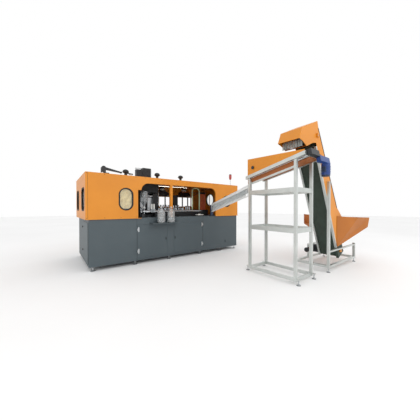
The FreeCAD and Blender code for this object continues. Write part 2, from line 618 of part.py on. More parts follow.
# Gear case across the roller ends, the gearbox beside it and the motor hung beneath.
CASE_END_X = 3050.0
GEARBOX_END_X = 3415.0
MOTOR_X = 3388.0
MOTOR_R = 76.0
case = fuse([
    slope_box(near_in + 10, far_in - GAP, RUN - 30, RUN, -RAIL_H, 18),
    slope_box(near_in + 10, CASE_END_X, RUN, RUN + 74, -RAIL_H - 20, 18),
])
for x in ROLL_X:
    case = case.cut(slope_rod(x, RUN - 60, RUN, ROLL_H, STUB_R + FIT))
save("unscrambler_gear_case", case)
gearbox = slope_box(CASE_END_X + GAP, GEARBOX_END_X, RUN + GAP, RUN + 74, -RAIL_H - 100, -RAIL_H + 5)
motor_y = on_slope(0, RUN + 37, 0).y
motor = rod((MOTOR_X, motor_y, 1955), (MOTOR_X, motor_y, 2160), MOTOR_R)
for z in (1985, 2015, 2045, 2075, 2105):
    motor = motor.fuse(rod((MOTOR_X, motor_y, z), (MOTOR_X, motor_y, z + 10), MOTOR_R + 5))
save("unscrambler_motor", fuse([motor, gearbox]))

# ---------------------------------------------------------------- elevator casing
HOIST_Y = (-3080.0, -2640.0)      # outer faces of the elevator side plates
HOIST_TOP = (3425.0, 2610.0)      # upper end of the underside line, in x and z
HOIST_FOOT = (4540.0, 230.0)
SKIN = 6.0
hoist_len = math.hypot(HOIST_FOOT[0] - HOIST_TOP[0], HOIST_FOOT[1] - HOIST_TOP[1])
dx = (HOIST_FOOT[0] - HOIST_TOP[0]) / hoist_len
dz = (HOIST_FOOT[1] - HOIST_TOP[1]) / hoist_len


def on_hoist(s, h):
    # s down the underside line from its top, h above that line.
    return (HOIST_TOP[0] + dx * s - dz * h, HOIST_TOP[1] + dz * s + dx * h)


def hoist_plate(s0, s1, h0, h1, y0, y1):
    return prism_xz([on_hoist(s0, h0), on_hoist(s1, h0), on_hoist(s1, h1), on_hoist(s0, h1)], y0, y1)


def inset(points, depths):
    # Outline with each side moved in by its own depth (out where the depth is negative).
    lines = []
    for i, depth in enumerate(depths):
        a = points[i]
        b = points[(i + 1) % len(points)]
        span = math.hypot(b[0] - a[0], b[1] - a[1])
        u = ((b[0] - a[0]) / span, (b[1] - a[1]) / span)
        lines.append((a[0] + u[1] * depth, a[1] - u[0] * depth, u))
    corners = []
    for i, (x1, z1, d1) in enumerate(lines):
        x0, z0, d0 = lines[i - 1]
        across = d0[0] * d1[1] - d0[1] * d1[0]
        t = ((x1 - x0) * d1[1] - (z1 - z0) * d1[0]) / across
        corners.append((x0 + d0[0] * t, z0 + d0[1] * t))
    return corners


SHOULDER = (4410.0, 1355.0)
WING = (4740.0, 1100.0)           # far corner of the side plates inside the hopper lip
APEX = (3470.0, 3045.0)
outline = [
    (2810.0, 2575.0), (2900.0, 2788.0), APEX, (3515.0, 2915.0), SHOULDER, WING, on_hoist(1785, 250),
    on_hoist(hoist_len, 250), HOIST_FOOT, HOIST_TOP, (3298.0, 2587.0), (3062.0, 2480.0), (2931.0, 2544.0),
]
# Sides of the outline in order: closed by a sheet, or open to the hopper, floor,
# belt underside and outlet.
OPEN = -30.0
sides = [SKIN, SKIN, SKIN, SKIN, OPEN, OPEN, OPEN, OPEN, OPEN, OPEN, SKIN, OPEN, OPEN]
hollow = prism_xz(inset(outline, sides), HOIST_Y[0] + SKIN, HOIST_Y[1] - SKIN)
casing = prism_xz(outline, *HOIST_Y).cut(hollow)
DRUM_R = 60.0
BELT_T = 6.0
DRUM_H = 95.0
TAIL = on_hoist(hoist_len - 118, DRUM_H)
HEAD = on_hoist(-120, DRUM_H)
AXLE_R = 15.0
BEARING = 35.0
bosses = []
for (x, z), y0 in ((HEAD, HOIST_Y[0] - 30), (HEAD, HOIST_Y[1]), (TAIL, HOIST_Y[0] - 30)):
    bosses.append(box(x - BEARING, x + BEARING, y0, y0 + 30, z - BEARING, z + BEARING))
casing = fuse([casing] + bosses)
for x, z in (HEAD, TAIL):
    casing = casing.cut(rod((x, HOIST_Y[0] - 60, z), (x, HOIST_Y[1] + 60, z), AXLE_R + FIT))
save("elevator_casing", casing)
save(
    "elevator_edge_profiles",
    hoist_plate(60, hoist_len, -40, 0, HOIST_Y[0], HOIST_Y[0] + 40),
    hoist_plate(60, hoist_len, -40, 0, HOIST_Y[1] - 40, HOIST_Y[1]),
)

# Belt loop with its cleats, round a head drum and a tail drum.
BELT_Y = (HOIST_Y[0] + 45, HOIST_Y[1] - 45)


def loop(radius):
    # Both strands and both ends of a belt path of this radius round the two drums.
    s_head = -120
    s_tail = hoist_len - 118
    body = hoist_plate(s_head, s_tail, DRUM_H - radius, DRUM_H + radius, *BELT_Y)
    ends = [rod((x, BELT_Y[0], z), (x, BELT_Y[1], z), radius) for x, z in (HEAD, TAIL)]
    return fuse([body] + ends)


belt = loop(DRUM_R + GAP + BELT_T).cut(loop(DRUM_R + GAP))
cleats = []
outer = DRUM_R + GAP + BELT_T
for i in range(14):
    s = -60 + i * 175
    cleats.append(hoist_plate(s, s + 8, DRUM_H + outer - 1, DRUM_H + outer + 36, *BELT_Y))
    cleats.append(hoist_plate(s + 60, s + 68, DRUM_H - outer - 22, DRUM_H - outer + 1, *BELT_Y))
save("elevator_belt", fuse([belt] + cleats))
for node, (x, z) in (("head_drum", HEAD), ("tail_drum", TAIL)):
    drum = rod((x, BELT_Y[0], z), (x, BELT_Y[1], z), DRUM_R)
    far = HOIST_Y[1] + (28 if node == "head_drum" else 70)
    save(node, fuse([drum, rod((x, HOIST_Y[0] - 28, z), (x, far, z), AXLE_R)]))

FRAME_FAR_Y = -2400.0             # inner face of the base tubes on the motor side
tail_gear = box(TAIL[0] - 80, TAIL[0] + 60, HOIST_Y[1], FRAME_FAR_Y, TAIL[1] - 110, TAIL[1] + BEARING + 32)
tail_bore = rod((TAIL[0], HOIST_Y[1] - 1, TAIL[1]), (TAIL[0], HOIST_Y[1] + 74, TAIL[1]), AXLE_R + FIT)
tail_gear = tail_gear.cut(tail_bore)
drive_z = TAIL[1] - 45
drive_y = FRAME_FAR_Y - 60
drive = rod((TAIL[0] - 330, drive_y, drive_z), (TAIL[0] - 80, drive_y, drive_z), 55)
save("elevator_drive", fuse([tail_gear, drive]))

# ---------------------------------------------------------------- hopper
BIN_X = 4390.0                    # wall of the bin beside the belt
BIN_END_X = 5740.0                # far end of the bin floor
FLARE = 8.0
near_y = HOIST_Y[0] - FLARE
far_y = -2320.0
LIP_FAR_Y = -2190.0


def solid_of(faces):
    flat = [Part.Face(Part.makePolygon([V(*p) for p in face] + [V(*face[0])])) for face in faces]
    return Part.makeSolid(Part.makeShell(flat))


def bin_body(t):
    # Flared bin as a closed body, drawn in by t on every wall: a to d round the
    # floor, e to h round the lip, k the fold corner of the near lip.
    a = (BIN_X, near_y + t, 470.0 + t)
    b = (BIN_X, far_y - t, 960.0 + t)
    c = (BIN_END_X - t, LIP_FAR_Y - t, 860.0 + t)
    d = (BIN_END_X - t, LIP_Y + t, 860.0 + t)
    up = 40.0 if t else 0.0
    e = (BIN_X, near_y + t, 1165.0 + up)
    f = (BIN_X, far_y - t, 1195.0 + up)
    g = (LIP_X - t, LIP_FAR_Y - t, 1100.0 + up)
    h = (LIP_X - t, LIP_Y + t, 1100.0 + up)
    k = (5045.0, LIP_Y + t, 1120.0 + up)
    return solid_of([
        (a, b, c), (a, c, d), (e, f, g), (e, g, h), (e, h, k),
        (a, d, h), (a, h, k), (a, k, e), (b, c, g), (b, g, f),
        (d, c, g), (d, g, h), (a, b, f), (a, f, e),
    ])


bin_shape = bin_body(0).cut(bin_body(SKIN))


keep_off = hoist_plate(-50, hoist_len, -400, 0, -4000, -1500)
throat = hoist_plate(1200, hoist_len + 100, -200, 252, HOIST_Y[0] - GAP, HOIST_Y[1] + GAP)
mouth = box(BIN_X - 20, BIN_X + 20, HOIST_Y[0] - GAP, HOIST_Y[1] + GAP, 1090, 1240)
bin_shape = cut(bin_shape, [keep_off, throat, mouth])
save("hopper", bin_shape)

# ---------------------------------------------------------------- elevator base frame
TUBE = 50.0
BASE_X = (3905.0, 5355.0)
near_tube = (HOIST_Y[0] - TUBE, HOIST_Y[0])
far_tube = (FRAME_FAR_Y, FRAME_FAR_Y + TUBE)
rail_z = TAIL[1] + BEARING + 2
post_x = TAIL[0] - 80
base = []
for y0, y1 in (near_tube, far_tube):
    base.append(box(BASE_X[0], BASE_X[1] + TUBE, y0, y1, FOOT_H, FOOT_H + TUBE))
    base.append(box(BASE_X[1], BASE_X[1] + TUBE, y0, y1, FOOT_H + TUBE, 470))
base.append(box(BASE_X[0], BASE_X[0] + TUBE, *near_tube, FOOT_H + TUBE, 1900))
base.append(box(BASE_X[0] + TUBE, BASE_X[1], *near_tube, rail_z, rail_z + 30))
base.append(box(post_x, post_x + TUBE, *far_tube, FOOT_H + TUBE, rail_z + 30))
base.append(box(post_x + TUBE, BASE_X[1], *far_tube, rail_z, rail_z + 30))
for x in BASE_X:
    base.append(box(x, x + TUBE, HOIST_Y[0], FRAME_FAR_Y, FOOT_H, FOOT_H + TUBE))
save("elevator_base_frame", *base)

# ---------------------------------------------------------------- chute
CHUTE_FROM = V(2860, -1880, 1850)
CHUTE_TO = V(3240, 20, 1450)
chute_run = (CHUTE_TO - CHUTE_FROM).Length
ahead = (CHUTE_TO - CHUTE_FROM).normalize()
sideways = ahead.cross(Z).normalize()
normal = sideways.cross(ahead)
turn = FreeCAD.Placement(CHUTE_FROM, FreeCAD.Rotation(ahead, V(0, 0, 0) - sideways, normal, "XZY"))


def in_chute(shape):
    shape = shape.copy()
    shape.Placement = turn.multiply(shape.Placement)
    return shape


SLOT = 36.0
CHUTE_RAIL_T = 8.0
chute = []
for side in (1, -1):
    y0, y1 = sorted((side * SLOT / 2, side * (SLOT / 2 + CHUTE_RAIL_T)))
    chute.append(box(0, chute_run, y0, y1, -50, 0))
    chute.append(box(0, chute_run + 60, y0, y1, -222, -206))
    for i in range(6):
        x = 30 + i * (chute_run - 80) / 5
        chute.append(box(x, x + 20, y0, y1, -222, 0))
for i in range(6):
    x = 30 + i * (chute_run - 80) / 5
    chute.append(box(x, x + 20, -SLOT / 2, SLOT / 2, -222, -214))
chute.append(box(0.11 * chute_run, chute_run, -SLOT / 2 - CHUTE_RAIL_T, -SLOT / 2 - 4, -208, -40))
stand_hook = box(2810, 2910, STAND_Y[0] + BAR_T / 2, -1850, 1640, 1652)
deck_foot = box(3200, 3275, 2, 60, SPLIT_Z, SPLIT_Z + 8)
deck_web = box(3200, 3275, 2, 10, SPLIT_Z, 1228)
save("chute_frame", fuse([in_chute(fuse(chute)), stand_hook, deck_foot, deck_web]))

PREFORM = [
    (0, -160), (8, -158), (14, -148), (14, -20), (11, -8), (11, 0), (20, 0),
    (20, 4), (12, 6), (12, 24), (9, 24), (9, 0), (9, -146), (0, -150),
]
preforms = []
count = int((chute_run - 60) / 44)
for i in range(count):
    preforms.append(in_chute(lathe(PREFORM, 30 + i * 44, 0, 0.05)))
save("preforms", *preforms)

# ---------------------------------------------------------------- feet
machine_feet = [(x, y) for x in (80, 955, 1834, 2805, 3570, MACHINE_L - 70) for y in (50, MACHINE_W - 50)]
hoist_feet = [(x + TUBE / 2, y) for x in BASE_X for y in (sum(near_tube) / 2, sum(far_tube) / 2)]


def foot(x, y, pad):
    stem = [(pad * 0.4, 22), (8, 24), (8, 62), (15, 62), (15, 74), (8, 74), (8, FOOT_H), (0, FOOT_H)]
    return lathe([(0, 0), (pad, 0), (pad, 8)] + stem, x, y)


MACHINE_PAD = 54.0
FRAME_PAD = 34.0
feet = [foot(x, y, MACHINE_PAD) for x, y in machine_feet]
feet += [foot(x, y, FRAME_PAD) for x, y in stand_feet + hoist_feet]
save("levelling_feet", *feet)

# ---------------------------------------------------------------- export
whole = Part.makeCompound(list(pieces.values())).BoundBox
origin = V(-(whole.XMin + whole.XMax) / 2, -(whole.YMin + whole.YMax) / 2, -whole.ZMin)
for node, shape in pieces.items():
    shape.translated(origin).exportStep("parts/" + node + ".step")
print("box", [round(v, 2) for v in (whole.XLength, whole.YLength, whole.ZLength)])
print("origin", [round(v, 3) for v in origin], "nodes", len(pieces))
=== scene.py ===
# %% [markdown]
# # Dressing a bottle blow moulding line
#
# The imported model brings every load-bearing piece at its real size: the cabinet, the
# orange panels, the stand, the elevator and all that turns or slides.  This lesson gives
# those pieces their finishes and adds what the eye expects close up: screws, seams,
# valves, hoses and blown bottles.  Every piece stays in the model's own frame.

# %% Load the fixed frame
import bmesh
import bpy
import json
import math
from mathutils import Matrix, Vector


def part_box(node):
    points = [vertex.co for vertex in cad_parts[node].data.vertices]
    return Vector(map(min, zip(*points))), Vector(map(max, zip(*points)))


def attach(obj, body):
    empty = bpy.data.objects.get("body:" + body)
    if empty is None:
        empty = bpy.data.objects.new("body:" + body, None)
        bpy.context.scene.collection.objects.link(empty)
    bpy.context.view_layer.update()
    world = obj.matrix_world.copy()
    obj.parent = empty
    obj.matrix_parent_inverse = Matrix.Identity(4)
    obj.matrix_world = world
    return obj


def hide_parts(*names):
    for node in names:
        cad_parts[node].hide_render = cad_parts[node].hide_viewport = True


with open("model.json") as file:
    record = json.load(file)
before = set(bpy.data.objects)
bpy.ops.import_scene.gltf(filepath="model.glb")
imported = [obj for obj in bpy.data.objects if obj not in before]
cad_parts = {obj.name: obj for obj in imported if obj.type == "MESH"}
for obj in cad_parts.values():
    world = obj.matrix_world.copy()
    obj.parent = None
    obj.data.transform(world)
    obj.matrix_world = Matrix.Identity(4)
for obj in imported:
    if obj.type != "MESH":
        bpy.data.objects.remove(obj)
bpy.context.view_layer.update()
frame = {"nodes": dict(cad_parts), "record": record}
nodes = frame["nodes"]
print("pieces in the frame:", len(nodes))

# %% [markdown]
# The cabinet's front left corner, on the floor, is the handiest place to measure from.
# `at` takes millimetres along the front, back from the front and up from the floor, and
# gives the point in the frame's metres.  The orange body stands out past the cabinet by
# the overhang.

# %% Measure from the cabinet's front left corner
OVERHANG = 28.0
CABINET_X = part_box("lower_cabinet")[0].x
FRONT_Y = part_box("left_door")[0].y
DECK_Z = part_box("front_fascia")[0].z * 1000
ROOF_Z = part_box("roof_panel")[1].z * 1000
CABINET_L = (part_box("lower_cabinet")[1].x - CABINET_X) * 1000
CABINET_W = (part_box("rear_wall")[1].y - FRONT_Y) * 1000 - OVERHANG


def at(x, y, z):
    return Vector((CABINET_X + x / 1000, FRONT_Y + y / 1000, z / 1000))


print("cabinet %.0f x %.0f mm, deck at %.0f, roof at %.0f" % (CABINET_L, CABINET_W, DECK_Z, ROOF_Z))

# %% [markdown]
# The camera stands at chest height, a few metres off the left front
# corner, and looks level along the diagonal.  It is made first so that every later choice
# can be judged through it.

# %% Camera
VIEW_YAW = math.radians(38.413)
camera_data = bpy.data.cameras.new("view")
camera_data.sensor_width = 36.0
camera_data.lens = 17.59
camera_data.shift_x = -0.0127
camera = bpy.data.objects.new("view", camera_data)
camera.location = at(-586, -4991, 1341)
camera.rotation_euler = (math.radians(90 - 0.487), 0, -VIEW_YAW)
bpy.context.scene.collection.objects.link(camera)
bpy.context.scene.camera = camera
print("camera at", [round(v, 2) for v in camera.location])

# %% [markdown]
# ## Finishes
#
# A finish is a small node tree.  Two helpers carry all of them: one turns a sRGB hex
# value into the linear numbers that shaders expect, and one adds a node with its settings
# and its incoming links.

# %% Two helpers for every material
def linear(code):
    channels = [int(code[i:i + 2], 16) / 255 for i in (0, 2, 4)]
    return [c / 12.92 if c <= 0.04045 else ((c + 0.055) / 1.055) ** 2.4 for c in channels] + [1.0]


def add(tree, kind, settings=None, links=None):
    made = tree.nodes.new(kind)
    for key, value in (settings or {}).items():
        if isinstance(key, int) or key in made.inputs:
            made.inputs[key].default_value = value
        else:
            setattr(made, key, value)
    for key, source in (links or {}).items():
        tree.links.new(source, made.inputs[key])
    return made


print("orange in linear light:", [round(c, 3) for c in linear("EC9A33")])

# %% [markdown]
# Most of the line is powder coated steel.  Sprayed powder flows out in the oven into a
# skin with a faint orange peel, and a large panel drifts very slightly in tone.
# Real peel is finer than the render can show, so its noise is drawn four millimetres
# wide.  A second noise, half a metre wide, moves the colour by a few percent.

# %% Start every finish the same way
MATERIALS = {}


def start(name, **settings):
    made = bpy.data.materials.new(name)
    made.use_nodes = True
    tree = made.node_tree
    shader = tree.nodes["Principled BSDF"]
    for key, value in settings.items():
        shader.inputs[key.replace("_", " ")].default_value = value
    place = add(tree, "ShaderNodeTexCoord").outputs["Object"]
    MATERIALS[name] = made
    return made, tree, shader, place


def per_metre(millimetres):
    return 1000.0 / millimetres


def drift(tree, place, shader, colour, other, size_mm, low=0.35, high=0.65):
    # Colour that wanders between two near tones over patches of the given size.
    cloud = add(
        tree, "ShaderNodeTexNoise", {"Scale": per_metre(size_mm), "Detail": 4.0}, {"Vector": place})
    ramp = add(tree, "ShaderNodeValToRGB", links={"Fac": cloud.outputs["Fac"]})
    ramp.color_ramp.elements[0].position = low
    ramp.color_ramp.elements[1].position = high
    ramp.color_ramp.elements[0].color = linear(colour)
    ramp.color_ramp.elements[1].color = linear(other)
    tree.links.new(ramp.outputs["Color"], shader.inputs["Base Color"])
    return ramp


def grain(tree, place, shader, size_mm, depth, stretch=(1, 1, 1), detail=2.0):
    # Fine relief, optionally drawn out along one axis as a brush or a lathe leaves it.
    spread = add(tree, "ShaderNodeMapping", {"Scale": stretch}, {"Vector": place})
    fine = add(
        tree, "ShaderNodeTexNoise", {"Scale": per_metre(size_mm), "Detail": detail},
        {"Vector": spread.outputs[0]})
    bump = add(
        tree, "ShaderNodeBump", {"Strength": depth, "Distance": 0.001}, {"Height": fine.outputs["Fac"]})
    tree.links.new(bump.outputs["Normal"], shader.inputs["Normal"])
    return fine


def vary_gloss(tree, shader, source, low, high):
    spread = add(
        tree, "ShaderNodeMapRange", {"To Min": low, "To Max": high}, {"Value": source.outputs["Fac"]})
    tree.links.new(spread.outputs["Result"], shader.inputs["Roughness"])


# %% [markdown]
# The coats differ only in tone and in how far the skin shines.  Sun-bright orange, slate
# and black are sprayed powder; the motor and the infeed bracket wear a glossier stoving
# enamel.  One function makes them all, so that a coat is a line.

# %% Powder coats and enamels
def powder_coat(name, colour, other, roughness):
    made, tree, shader, place = start(name, Roughness=roughness, IOR=1.5)
    drift(tree, place, shader, colour, other, 520)
    peel = grain(tree, place, shader, 4.0, 0.18)
    vary_gloss(tree, shader, peel, roughness - 0.05, roughness + 0.07)
    return made


powder_coat("orange_powder_coat", "DB8A1E", "D48419", 0.42)
powder_coat("hopper_orange_coat", "B56A1A", "AA6216", 0.6)
powder_coat("slate_powder_coat", "4C575C", "485358", 0.5)
powder_coat("black_enamel", "1C1E20", "23262A", 0.38)
powder_coat("white_enamel", "E6E6E0", "DDDED8", 0.35)
powder_coat("pale_green_enamel", "C6DDB8", "B8D2AA", 0.38)
powder_coat("blue_motor_enamel", "24478C", "1E3E7E", 0.32)
powder_coat("brown_orange_coat", "A8602C", "985624", 0.5)
powder_coat("silver_powder_coat", "EEF0EF", "E4E7E6", 0.4)
powder_coat("navy_enamel", "1D3350", "182B45", 0.4)
print("coats:", sorted(MATERIALS))

# %% [markdown]
# Bare metals differ by how they were made.  Extruded aluminium is anodised to a soft
# satin with faint lines along its length; ground shafts are nearly mirrors; milled plate
# shows the cutter's sweep; zinc plating mottles in small crystals.  All are fully
# metallic with the default IOR, and only the relief and roughness change.

# %% Bare metals
def bare_metal(name, colour, other, roughness, size_mm, depth, stretch=(1, 1, 1)):
    made, tree, shader, place = start(name, Metallic=1.0, Roughness=roughness)
    drift(tree, place, shader, colour, other, size_mm * 30)
    lines = grain(tree, place, shader, size_mm, depth, stretch)
    vary_gloss(tree, shader, lines, roughness - 0.06, roughness + 0.08)
    return made


bare_metal("anodised_aluminium", "D2D6D3", "C8CCC9", 0.42, 6.0, 0.10)
bare_metal("ground_steel", "DADDE0", "CCD0D4", 0.16, 3.0, 0.04)
bare_metal("milled_steel", "A9ADB0", "9A9EA2", 0.34, 5.0, 0.14, (1, 0.15, 1))
bare_metal("cast_tool_aluminium", "C2C5C8", "B4B8BC", 0.36, 5.0, 0.10, (0.2, 1, 1))
bare_metal("zinc_plate", "C9CCCE", "B9BDC0", 0.32, 3.0, 0.12)
print("finishes so far:", len(MATERIALS))

# %% [markdown]
# Rubber and engineering plastics are dull and slightly uneven.  The belt is a ribbed PVC
# conveyor belt, dark green going to black where it is worn, so its rough top
# comes from a deeper noise.

# %% Rubber and plastics
def moulded(name, colour, other, roughness, size_mm, depth, **more):
    made, tree, shader, place = start(name, Roughness=roughness, IOR=1.5, **more)
    drift(tree, place, shader, colour, other, size_mm * 25)
    fine = grain(tree, place, shader, size_mm, depth)
    vary_gloss(tree, shader, fine, roughness - 0.05, roughness + 0.08)
    return made


moulded("black_rubber", "1A1A1B", "222223", 0.72, 3.0, 0.20)
moulded("black_nylon", "1E2022", "2A2C2E", 0.5, 2.5, 0.14)
moulded("white_acetal", "EEEEEA", "E2E3DE", 0.4, 4.0, 0.08)
moulded("belt_pvc", "2A362D", "314035", 0.6, 5.0, 0.45)
moulded("red_polycarbonate", "B43A30", "A02E26", 0.3, 5.0, 0.06, Coat_Weight=0.5)
moulded("curtain_pvc", "C9CDC8", "A9AEA8", 0.3, 12.0, 0.2, Transmission_Weight=0.5)
print("finishes so far:", len(MATERIALS))

# %% [markdown]
# Clear pieces are true transparent solids with their own refractive index: blown and
# moulded PET at 1.575, sheet polycarbonate at 1.585.  A trace of ripple in the relief
# keeps a blown bottle from looking like cast glass.  The heater tubes glow.

# %% Clear and glowing materials
def clear(name, tint, ior, roughness, size_mm, depth, through=1.0):
    made, tree, shader, place = start(
        name, Roughness=roughness, IOR=ior, Transmission_Weight=through, Base_Color=linear(tint))
    grain(tree, place, shader, size_mm, depth, detail=1.0)
    return made


clear("blown_pet", "F8FBFC", 1.575, 0.07, 40.0, 0.25, 0.84)
moulded("preform_pet", "F2F5F5", "E6EBEC", 0.28, 30.0, 0.10, Transmission_Weight=0.55)
clear("sheet_polycarbonate", "F3F6F5", 1.585, 0.03, 300.0, 0.05)


def glowing(name, colour, other, strength):
    made, tree, shader, place = start(
        name, Roughness=0.25, IOR=1.46, Emission_Strength=strength, Emission_Color=linear(colour))
    drift(tree, place, shader, colour, other, 60)
    grain(tree, place, shader, 12.0, 0.08)
    return made


glowing("heater_quartz", "A8481C", "7A3010", 0.22)
# painted light: the board is no lamp, and its glow stands in for light falling on it through the window
glowing("cream_board_painted_glow", "EAD6A8", "CFAE7C", 0.4)
glowing("tube_light", "FFF8EC", "F4F4F0", 5.0)
print("finishes:", len(MATERIALS))

# %% [markdown]
# Each carried-over piece names the slot of paint or metal it was built with.  A table
# from slot to finish dresses all of them in one loop.  Two pieces leave the rule: the
# hopper is duller and darker than the panels, and the chute's frame is the whitest.

# %% Give every carried-over piece its finish
FINISH_OF_SLOT = {
    "slate_paint": "slate_powder_coat", "orange_paint": "orange_powder_coat", "zinc": "zinc_plate",
    "black_rubber": "black_rubber", "clear_sheet": "sheet_polycarbonate", "dark_paint": "black_enamel",
    "white_paint": "white_enamel", "machined_steel": "milled_steel", "ground_steel": "ground_steel",
    "mould_aluminium": "cast_tool_aluminium", "anodised": "anodised_aluminium",
    "pale_green": "pale_green_enamel", "lamp_quartz": "heater_quartz", "clear_pet": "blown_pet",
    "white_plastic": "white_acetal", "black_plastic": "black_nylon", "red_lens": "red_polycarbonate",
    "belt_green": "belt_pvc", "blue_paint": "blue_motor_enamel", "brown_orange": "brown_orange_coat",
    "preform_pet": "preform_pet",
}
for part in frame["record"]["subparts"]:
    cad = nodes[part["node"]]
    finish = MATERIALS[FINISH_OF_SLOT[part["material_slot"]]]
    cad.data.materials.clear()
    cad.data.materials.append(finish)
nodes["hopper"].data.materials[0] = MATERIALS["hopper_orange_coat"]
nodes["chute_frame"].data.materials[0] = MATERIALS["silver_powder_coat"]

# %% [markdown]
# ## Making pieces
#
# Three ways cover the fittings.  `blocks` bevels any number of plain slabs into one mesh,
# `turned` spins a profile round an axis as a lathe does, and `pipes` sweeps a round along
# a smooth line.  `keep` finishes each: it names the piece, gives it its finish, seats it
# on its body and reports its size.

# %% Keep a piece
LINE = "line"


def keep(name, mesh, finish, body=LINE, smooth=False):
    mesh.name = name
    if not mesh.materials:
        mesh.materials.append(MATERIALS[finish])
    if smooth:
        mesh.shade_smooth()
        mesh.set_sharp_from_angle(angle=math.radians(35))
    piece = bpy.data.objects.new(name, mesh)
    bpy.context.scene.collection.objects.link(piece)
    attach(piece, body)
    print("%-26s %6d faces" % (name, len(mesh.polygons)))
    return piece


# %% Bevelled slabs
def blocks(slabs, edge_mm=1.5):
    build = bmesh.new()
    for low, high in slabs:
        size = [high[i] - low[i] for i in range(3)]
        middle = [(high[i] + low[i]) / 2 for i in range(3)]
        shape = Matrix.Translation(at(*middle)) @ Matrix.Diagonal([s / 1000 for s in size] + [1])
        bmesh.ops.create_cube(build, size=1, matrix=shape)
    if edge_mm:
        bmesh.ops.bevel(
            build, geom=build.edges[:], offset=edge_mm / 1000, segments=1, affect="EDGES",
            clamp_overlap=True)
    mesh = bpy.data.meshes.new("blocks")
    build.to_mesh(mesh)
    build.free()
    return mesh


# %% Turned shapes
def turned(profile, base, along=(0, 0, 1), steps=32):
    # Profile points are (radius, height) in millimetres from the base point along the axis.
    build = bmesh.new()
    verts = [build.verts.new((r / 1000, 0, h / 1000)) for r, h in profile]
    edges = [build.edges.new(pair) for pair in zip(verts, verts[1:])]
    bmesh.ops.spin(
        build, geom=verts + edges, cent=(0, 0, 0), axis=(0, 0, 1), angle=math.tau, steps=steps,
        use_merge=True)
    bmesh.ops.remove_doubles(build, verts=build.verts[:], dist=1e-5)
    bmesh.ops.recalc_face_normals(build, faces=build.faces[:])
    turn = Vector((0, 0, 1)).rotation_difference(Vector(along)).to_matrix().to_4x4()
    bmesh.ops.transform(build, matrix=Matrix.Translation(base) @ turn, verts=build.verts[:])
    mesh = bpy.data.meshes.new("turned")
    build.to_mesh(mesh)
    build.free()
    return mesh


# %% Swept pipes
def pipes(routes, radius_mm, order=3):
    curve = bpy.data.curves.new("pipes", "CURVE")
    curve.dimensions = "3D"
    curve.bevel_depth = radius_mm / 1000
    curve.bevel_resolution = 3
    curve.use_fill_caps = True
    curve.resolution_u = 6
    for route in routes:
        spline = curve.splines.new("NURBS")
        spline.points.add(len(route) - 1)
        for point, place in zip(spline.points, route):
            point.co = (*at(*place), 1)
        spline.order_u = min(order, len(route))
        spline.use_endpoint_u = True
    holder = bpy.data.objects.new("pipes", curve)
    bpy.context.scene.collection.objects.link(holder)
    view = bpy.context.evaluated_depsgraph_get()
    mesh = bpy.data.meshes.new_from_object(holder.evaluated_get(view))
    bpy.data.objects.remove(holder)
    return mesh


def merged(meshes):
    # Several meshes as one, for pieces that are many alike.
    build = bmesh.new()
    for mesh in meshes:
        build.from_mesh(mesh)
    mesh = bpy.data.meshes.new("merged")
    build.to_mesh(mesh)
    build.free()
    return mesh


print("helpers ready")

# %% [markdown]
# ## Fasteners by Geometry Nodes
#
# A line like this holds hundreds of screws.  One node tree makes them all: it takes a
# mesh of bare points, stands a low domed cylinder on each, turns it to face along a named
# direction, and sets the finish.  Radius, height and direction are named inputs, so the same
# tree serves every sheet, whichever way it faces.

# %% The fastener tree
def fastener_tree():
    tree = bpy.data.node_groups.new("fasteners", "GeometryNodeTree")
    tree.interface.new_socket("Points", in_out="INPUT", socket_type="NodeSocketGeometry")
    for name, kind in (
            ("Radius", "NodeSocketFloat"), ("Height", "NodeSocketFloat"), ("Sides", "NodeSocketInt"),
            ("Facing", "NodeSocketVector"), ("Finish", "NodeSocketMaterial")):
        tree.interface.new_socket(name, in_out="INPUT", socket_type=kind)
    tree.interface.new_socket("Fasteners", in_out="OUTPUT", socket_type="NodeSocketGeometry")
    given = add(tree, "NodeGroupInput").outputs
    washer = add(tree, "GeometryNodeMeshCylinder", {"Vertices": 14}, {"Depth": given["Height"]})
    wide = add(tree, "ShaderNodeMath", {"operation": "MULTIPLY", 1: 1.45}, {0: given["Radius"]})
    tree.links.new(wide.outputs[0], washer.inputs["Radius"])
    head = add(tree, "GeometryNodeMeshCylinder", {}, {
        "Vertices": given["Sides"], "Radius": given["Radius"], "Depth": given["Height"]})
    step = add(tree, "ShaderNodeCombineXYZ", {}, {"Z": given["Height"]})
    raised = add(tree, "GeometryNodeTransform", {}, {
        "Geometry": head.outputs["Mesh"], "Translation": step.outputs[0]})
    both = add(tree, "GeometryNodeJoinGeometry", {}, {"Geometry": raised.outputs["Geometry"]})
    tree.links.new(washer.outputs["Mesh"], both.inputs["Geometry"])
    turn = add(tree, "FunctionNodeAlignRotationToVector", {"axis": "Z"}, {"Vector": given["Facing"]})
    spread = add(tree, "GeometryNodeInstanceOnPoints", {}, {
        "Points": given["Points"], "Instance": both.outputs["Geometry"],
        "Rotation": turn.outputs["Rotation"]})
    real = add(tree, "GeometryNodeRealizeInstances", {}, {"Geometry": spread.outputs["Instances"]})
    dressed = add(tree, "GeometryNodeSetMaterial", {}, {
        "Geometry": real.outputs["Geometry"], "Material": given["Finish"]})
    add(tree, "NodeGroupOutput", {}, {"Fasteners": dressed.outputs["Geometry"]})
    return tree


# %% [markdown]
# A tree works as a modifier on a holder object.  Its inputs are set by the identifier of
# each socket, because names can repeat.  The evaluated result is then copied to a plain
# mesh and the holder is thrown away, so nothing live is left behind.

